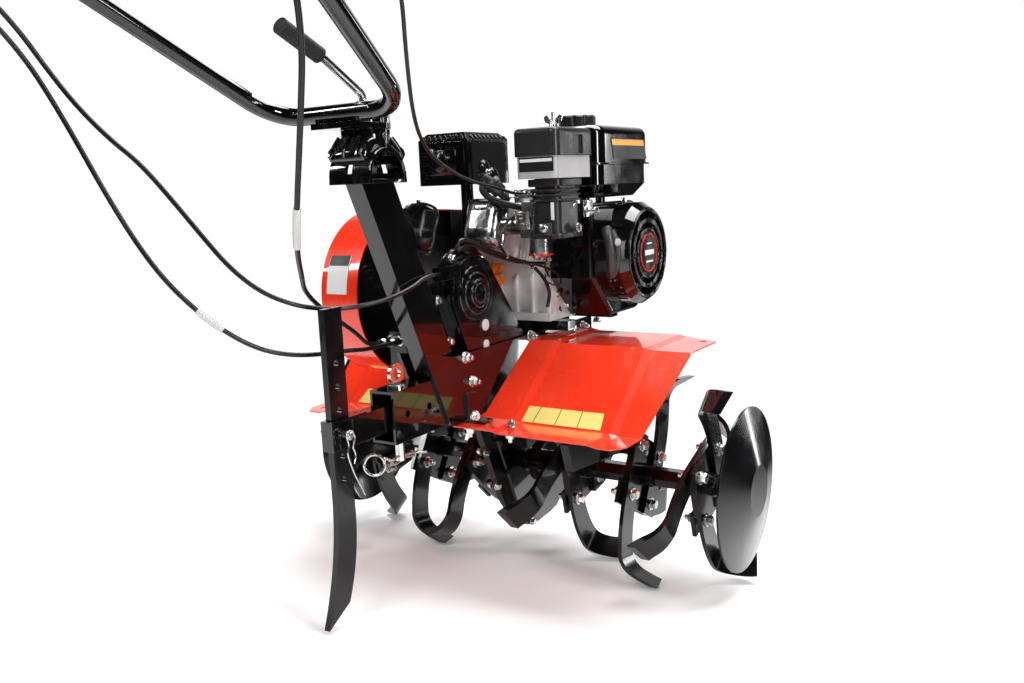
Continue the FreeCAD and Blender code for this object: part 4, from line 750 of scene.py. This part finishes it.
def fender_signs():
    """A blank yellow sign on each fender, with the lines between its four fields."""
    sign = Kit("fender_sign", "sign_yellow")
    ink = Kit("fender_sign_lines", "sign_black")
    half_line = Vector((0.5, 0, 0))
    for side in (1, -1):
        corners = []
        for x, y in ((88, -173), (237, -173), (242, -198), (83, -198)):
            z = FENDER_EDGE_Z + (y - FENDER_EDGE_Y) * FENDER_SLOPE
            corners.append(Vector((side * x, y, z)) - FENDER_OUT * SIGN_SINK)
        sign.plate(corners, FENDER_OUT, SIGN_THICK)
        for field in (1, 2, 3):
            a = corners[0].lerp(corners[1], field / 4) + FENDER_OUT * SIGN_THICK
            b = corners[3].lerp(corners[2], field / 4) + FENDER_OUT * SIGN_THICK
            ink.plate([a - half_line, a + half_line, b + half_line, b - half_line], FENDER_OUT, 0.25)
    sign.done()
    ink.done()


def label(name, finish, corners, out, thick):
    k = Kit(name, finish)
    k.plate(corners, out, thick)
    k.done()


def engine_labels():
    """Blank labels on the tank and the air cleaner, each with its coloured band."""
    label("tank_label", "sign_black", [(148.2, 50, 741), (148.2, 181, 741), (148.2, 193, 707),
                                       (148.2, 59, 707)], (1, 0, 0), 0.7)
    label("tank_label_band", "sign_orange", [(148.8, 52, 740), (148.8, 179, 740), (148.8, 182, 730),
                                             (148.8, 55, 730)], (1, 0, 0), 0.4)
    label("cleaner_label", "sign_black", [(76, -132.0, 711), (139, -132.0, 711), (139, -132.0, 689),
                                          (76, -132.0, 689)], (0, -1, 0), 0.7)
    label("cleaner_label_band", "sign_white", [(78, -132.6, 709), (137, -132.6, 709), (137, -132.6, 704),
                                               (78, -132.6, 704)], (0, -1, 0), 0.4)


BELT_COVER_RADIUS = 137.0


def belt_cover_label():
    """A blank white label round the rear of the belt cover, with a dark band at its top."""
    label_kit = Kit("belt_cover_label", "sign_white")
    band = Kit("belt_cover_label_head", "sign_black")
    for kit, first, last, x0, x1, lift in ((label_kit, 150, 176, -170, -128, 0.2),
                                           (band, 150, 157, -169, -129, 0.7)):
        rows = []
        for j in range(9):
            a = math.radians(first + (last - first) * j / 8)
            rows.append([Vector((x, BELT_Y + (BELT_COVER_RADIUS + h) * math.cos(a),
                                 BELT_Z + (BELT_COVER_RADIUS + h) * math.sin(a)))
                         for x, h in ((x0, lift), (x0, lift + 0.6), (x1, lift + 0.6), (x1, lift))])
        kit.skin(rows)
    label_kit.done()
    band.done()


def choke_label():
    label("choke_label", "sign_white", [(121, -113.6, 640), (127, -113.6, 640), (127, -113.6, 612),
                                        (121, -113.6, 612)], (0, -1, 0), 0.5)


def recoil_badge():
    """The round badge with plain bars, and the pressed rings of the recoil starter."""
    k = Kit("recoil_badge", "sign_black")
    k.lathe((RECOIL_FACE + 0.2, RECOIL_Y, RECOIL_Z), (1, 0, 0), [(0, 31), (1.6, 31), (2.2, 30)], 48)
    k.done()
    k = Kit("recoil_ridges", "gloss_plastic")
    for r, thick in ((43.5, 1.5), (57.5, 1.5), (61, 1.3), (77.5, 1.8)):
        k.ring((RECOIL_FACE + 0.2, RECOIL_Y, RECOIL_Z), (1, 0, 0), r, thick, 64, 8)
    k.done(60)
    k = Kit("recoil_badge_ring", "badge_red")
    k.ring((RECOIL_FACE + 1.4, RECOIL_Y, RECOIL_Z), (1, 0, 0), 33, 1.5, 56, 8)
    k.done()
    k = Kit("recoil_badge_bars", "sign_white")
    for z, high, wide in ((557, 1.2, 11), (541, 4.5, 19), (525, 1.8, 15)):
        k.box(RECOIL_FACE + 2.2, RECOIL_FACE + 2.9, RECOIL_Y - wide, RECOIL_Y + wide, z - high, z + high, 0.3)
    k.done()


def starter_handle():
    """The curved pull handle of the starter, and the pale button beside it."""
    k = Kit("starter_handle", "cast_iron_grey")
    k.wire([(160, 3, 592), (164, -1, 582), (168, -2, 560), (169, 0, 538), (167, 4, 520), (163, 8, 512)],
           8.5, seg=16)
    k.wire([(168, 5, 588), (176, 9, 562), (175, 11, 535), (167, 11, 514)], 6.5, seg=12)
    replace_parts(k.done(60), "starter_grip")
    k = Kit("starter_plug", "pale_plastic_and_painted_reflection")
    k.lathe((179, 3, 568), (1, -0.5, 0), [(0, 6.0), (2.5, 6.0), (3.5, 4.5)], 20)
    k.done()


def case_plugs():
    """The two white plugs in the right half of the chain case."""
    k = Kit("case_plug", "white_plastic")
    for z, r in ((447, 9.5), (415, 7.5)):
        k.lathe((22.5, -171, z), (1, 0, 0), [(0, r), (2.0, r), (2.8, r - 1.5)], 28)
    k.done()


def swivel_fittings():
    """The lever pins at the grips, and the boss and nut of the handlebar's swivel."""
    k = Kit("bar_fittings", "zinc_steel", "handlebar")
    for side in (1, -1):
        k.rod((side * 248, -1047, 1100), (side * 268, -1047, 1100), 3)
    k.done()
    k = Kit("swivel_boss", "zinc_steel", "handlebar")
    k.lathe((0, -384, 758), (0, 0, 1), [(0, 20), (1.5, 21), (20, 20), (25, 17), (27, 12)], 40)
    k.done()
    k = Kit("swivel_nut", "zinc_steel", "handlebar")
    k.bolt((0, HEAD_Y, 781), (0, 0, 1), 19, 9, 2.5, 3)
    k.done()


def head_casting():
    """The flared skirt of the tilting head, hollowed round the saddle, and its ribs."""
    k = Kit("head_skirt", "gloss_black", "head")
    k.loaf([(713, 32, 47, 14), (717, 33.5, 48.5, 16), (724, 33, 46, 17), (734, 32, 39, 20),
            (741, 31, 35.5, 24), (743, 30, 34.5, 25)], at=(0, HEAD_Y))
    bore(k.done(60), (-60, HEAD_Y, SADDLE_Z), (60, HEAD_Y, SADDLE_Z), SADDLE_RADIUS + 1.5)
    k = Kit("head_ribs", "gloss_black", "head")
    for x in (-31, 31):
        for side in (-1, 1):
            k.wire([(x * 0.72, HEAD_Y + side * 48, 717), (x * 0.72, HEAD_Y + side * 43, 729),
                    (x * 0.6, HEAD_Y + side * 34, 743)], 2.4, seg=8)
    for side in (-1, 1):
        k.wire([(0, HEAD_Y + side * 48, 716), (0, HEAD_Y + side * 43, 730),
                (0, HEAD_Y + side * 35, 744)], 2.6)
        k.wire([(side * 33, HEAD_Y, 718), (side * 33, HEAD_Y, 730), (side * 31, HEAD_Y, 744)], 2.6)
    k.done()


SADDLE_FOOT = 680            # z of the saddle's foot, below its axis


def saddle_rims():
    """A raised rim round each open end of the saddle, and the bar across its foot."""
    k = Kit("saddle_rims", "gloss_black")
    arc = [math.radians(9 * j) for j in range(21)]
    bend = ([(-1, SADDLE_FOOT)] + [(-math.cos(a), SADDLE_Z + math.sin(a) * SADDLE_RADIUS) for a in arc]
            + [(1, SADDLE_FOOT)])
    for side in (1, -1):
        rows = []
        for c, z in bend:
            low = SADDLE_FOOT if z == SADDLE_FOOT else SADDLE_Z + (z - SADDLE_Z) * 0.83
            rows.append([Vector((side * x, HEAD_Y + c * r, height)) for x, r, height in
                         ((30, 33.4, low), (30, 40.3, z), (35.5, 40.3, z), (37, 38.6, z - (z > 700)),
                          (37, 34.6, low), (35.5, 33.4, low))])
        k.skin(rows)
        k.box(min(side * 30, side * 37), max(side * 30, side * 37), HEAD_Y - SADDLE_RADIUS,
              HEAD_Y + SADDLE_RADIUS, SADDLE_FOOT, SADDLE_FOOT + 6, 1)
    k.done()


def head_pin():
    """The pin through the top of the head."""
    k = Kit("head_pivot_bolts", "zinc_steel", "head")
    k.rod((-34, HEAD_Y, 744), (34, HEAD_Y, 744), 4.0)
    k.done()


ADJUSTER_Z = 437             # height of the lower ends of cable_left_1 and cable_right


def adjusters():
    """Threaded barrels, nuts and inner wires where the two cables end."""
    k = Kit("cable_adjusters", "zinc_steel")
    for x in (-52, -70):
        k.lathe((x, -325, ADJUSTER_Z), (0, 1, 0), [(0, 5), (2, 6.4), (10, 6.4)], 20)
        k.lathe((x, -300, ADJUSTER_Z), (0, 1, 0), [(0, 9), (7, 9), (8, 8)], 6)
        k.lathe((x, -286, ADJUSTER_Z), (0, 1, 0), [(0, 9), (6, 9), (7, 8)], 6)
        k.rod((x, -286, ADJUSTER_Z), (x, -262, ADJUSTER_Z), 1.2)
    k.done()


# ---- room, light and camera --------------------------------------------------
VIEW = Vector((-0.5359, 0.8275, -0.1666))     # the way the camera looks, in the machine's axes
WHITE = (1, 1, 1, 1)
# the floor's own pale colour, and the dark of its painted shade far from the machine
FLOOR_WHITE, FLOOR_PAINTED_SHADE = 0.92, 0.04
PAINTED_SHADE_REACH = (0.9, 2.2)         # metres from the machine where the floor's painted shade starts and ends to darken it
PAINTED_GLOW_REACH = (0.7, 1.9)           # metres where the floor's painted glow, seen only by the camera, starts and ends to show it white
# levels of that painted glow, near the machine and far from it
PAINTED_GLOW_LEVELS = (0.12, 1.0)
ROOM = ((0.78, 0.012), (0.95, 0.95))          # how far round to the view's direction, light level
SKY_STRENGTH = 1.02


def floor_plane():
    """A pale floor whose colour darkens with distance as painted shade of a dim room, seen in what mirrors
    it, and which glows white to the camera with painted light rising with distance.
    """
    bpy.ops.mesh.primitive_plane_add(size=60, location=(0, 0, 0))
    floor = bpy.context.object
    floor.name = "floor"
    m = Mat("floor_white", (FLOOR_WHITE,) * 3, 0.4).gloss(2.0, 0.34, 0.46)
    m.shader.inputs["Emission Color"].default_value = WHITE
    m.shader.inputs["Specular IOR Level"].default_value = 0.0
    away = m.node("ShaderNodeVectorMath", operation="LENGTH")
    m.link(m.coords(), away.inputs[0])

    def fade(reach, levels):
        n = m.node("ShaderNodeMapRange", From_Min=reach[0], From_Max=reach[1], To_Min=levels[0],
                   To_Max=levels[1])
        m.link(away.outputs["Value"], n.inputs["Value"])
        return n.outputs["Result"]

    # painted shade: the floor's colour darkens away from the machine, as an unlit room would
    tone = m.ramp(fade(PAINTED_SHADE_REACH, (0.0, 1.0)), FLOOR_WHITE, FLOOR_PAINTED_SHADE, 0.0, 1.0)
    m.link(tone, m.shader.inputs["Base Color"])
    # painted glow: emission that only camera rays see, rising away from the machine
    camera_only_glow = m.node("ShaderNodeMath", operation="MULTIPLY")
    m.link(fade(PAINTED_GLOW_REACH, PAINTED_GLOW_LEVELS), camera_only_glow.inputs[0])
    m.link(m.node("ShaderNodeLightPath").outputs["Is Camera Ray"], camera_only_glow.inputs[1])
    m.link(camera_only_glow.outputs[0], m.shader.inputs["Emission Strength"])
    floor.data.materials.append(m.material)


def studio():
    """A bright wall of light beyond the machine and a dim room elsewhere, white to the camera."""
    world = bpy.data.worlds.new("studio")
    bpy.context.scene.world = world
    world.use_nodes = True
    tree = world.node_tree
    sky = tree.nodes["Background"]
    coords = tree.nodes.new("ShaderNodeTexCoord")
    dot = tree.nodes.new("ShaderNodeVectorMath")
    dot.operation = "DOT_PRODUCT"
    ahead = MACHINE.to_3x3().normalized() @ VIEW
    ahead.z = 0
    dot.inputs[1].default_value = ahead.normalized()
    half = tree.nodes.new("ShaderNodeMapRange")
    half.inputs["From Min"].default_value = -1.0
    ramp = tree.nodes.new("ShaderNodeValToRGB")
    for end, (place, level) in enumerate(ROOM):
        ramp.color_ramp.elements[end].position = place
        ramp.color_ramp.elements[end].color = (level, level, level, 1)
    path = tree.nodes.new("ShaderNodeLightPath")
    mix = tree.nodes.new("ShaderNodeMix")
    mix.data_type = "RGBA"
    color_a, color_b, result = mix.inputs[6], mix.inputs[7], mix.outputs[2]
    color_b.default_value = WHITE
    for a, b in ((coords.outputs["Generated"], dot.inputs[0]), (dot.outputs["Value"], half.inputs["Value"]),
                 (half.outputs["Result"], ramp.inputs["Fac"]),
                 (path.outputs["Is Camera Ray"], mix.inputs["Factor"]),
                 (ramp.outputs["Color"], color_a), (result, sky.inputs["Color"])):
        tree.links.new(a, b)
    sky.inputs["Strength"].default_value = SKY_STRENGTH
    bpy.context.scene.view_settings.view_transform = "Standard"
    bpy.context.scene.view_settings.gamma = 0.9


def softbox(name, place, aim, size, power):
    """An area light of width and height size at place, turned to aim, in metres and watts."""
    data = bpy.data.lights.new(name, "AREA")
    data.shape = "RECTANGLE"
    data.size, data.size_y = size
    data.energy = power
    o = bpy.data.objects.new(name, data)
    bpy.context.scene.collection.objects.link(o)
    o.location = place
    o.rotation_euler = (Vector(aim) - Vector(place)).to_track_quat("-Z", "Y").to_euler()


# name, place, aim, width and height, watts
LIGHTS = (
    ("key", (-2.3, -1.9, 2.3), (0, 0, 0.4), (0.16, 1.8), 26),
    ("strip", (1.3, 2.6, 0.7), (0.2, 0, 0.5), (0.14, 1.4), 6),
    ("front", (0.9, -3.4, 2.4), (0, 0, 0.4), (1.2, 0.4), 60),
    ("side", (3.0, -0.4, 1.5), (0, 0, 0.4), (0.5, 2.4), 60),
    ("top", (0.2, 0.9, 3.0), (0, 0, 0.4), (3.0, 1.8), 130),
)


def lights():
    for light in LIGHTS:
        softbox(*light)


SENSOR = 36.0
FOCAL_IN_PICTURES = 930.0 / 1024.0            # focal length over the picture's width


def camera():
    """The camera of the photograph's view, placed in the machine's axes."""
    data = bpy.data.cameras.new("camera")
    data.sensor_width = SENSOR
    data.lens = FOCAL_IN_PICTURES * SENSOR
    data.clip_start = 0.05
    o = bpy.data.objects.new("camera", data)
    bpy.context.scene.collection.objects.link(o)
    turn = MACHINE.to_3x3().normalized()
    right = turn @ Vector((0.8425, 0.5374, -0.0420))
    back = turn @ -VIEW
    up = back.cross(right)
    rot = Matrix((right, up, back)).transposed().to_4x4()
    o.matrix_world = Matrix.Translation(MACHINE @ Vector((875, -1408, 671))) @ rot
    bpy.context.scene.camera = o


dress()
cables()
for detail in (rotor_bolts, case_bolts, frame_bolts, hitch_pins, engine_bolts, governor_links, oil_caps,
               rocker_cover, elbow_collars, bowl_tag, case_dish, belt_fan_shroud, muffler_trim,
               plug_shield, rubber_hoses, thin_wires, wire_clips, fender_signs, engine_labels,
               belt_cover_label, choke_label, recoil_badge, starter_handle, case_plugs,
               swivel_fittings, head_casting, saddle_rims, head_pin, adjusters):
    detail()
floor_plane()
studio()
lights()
camera()
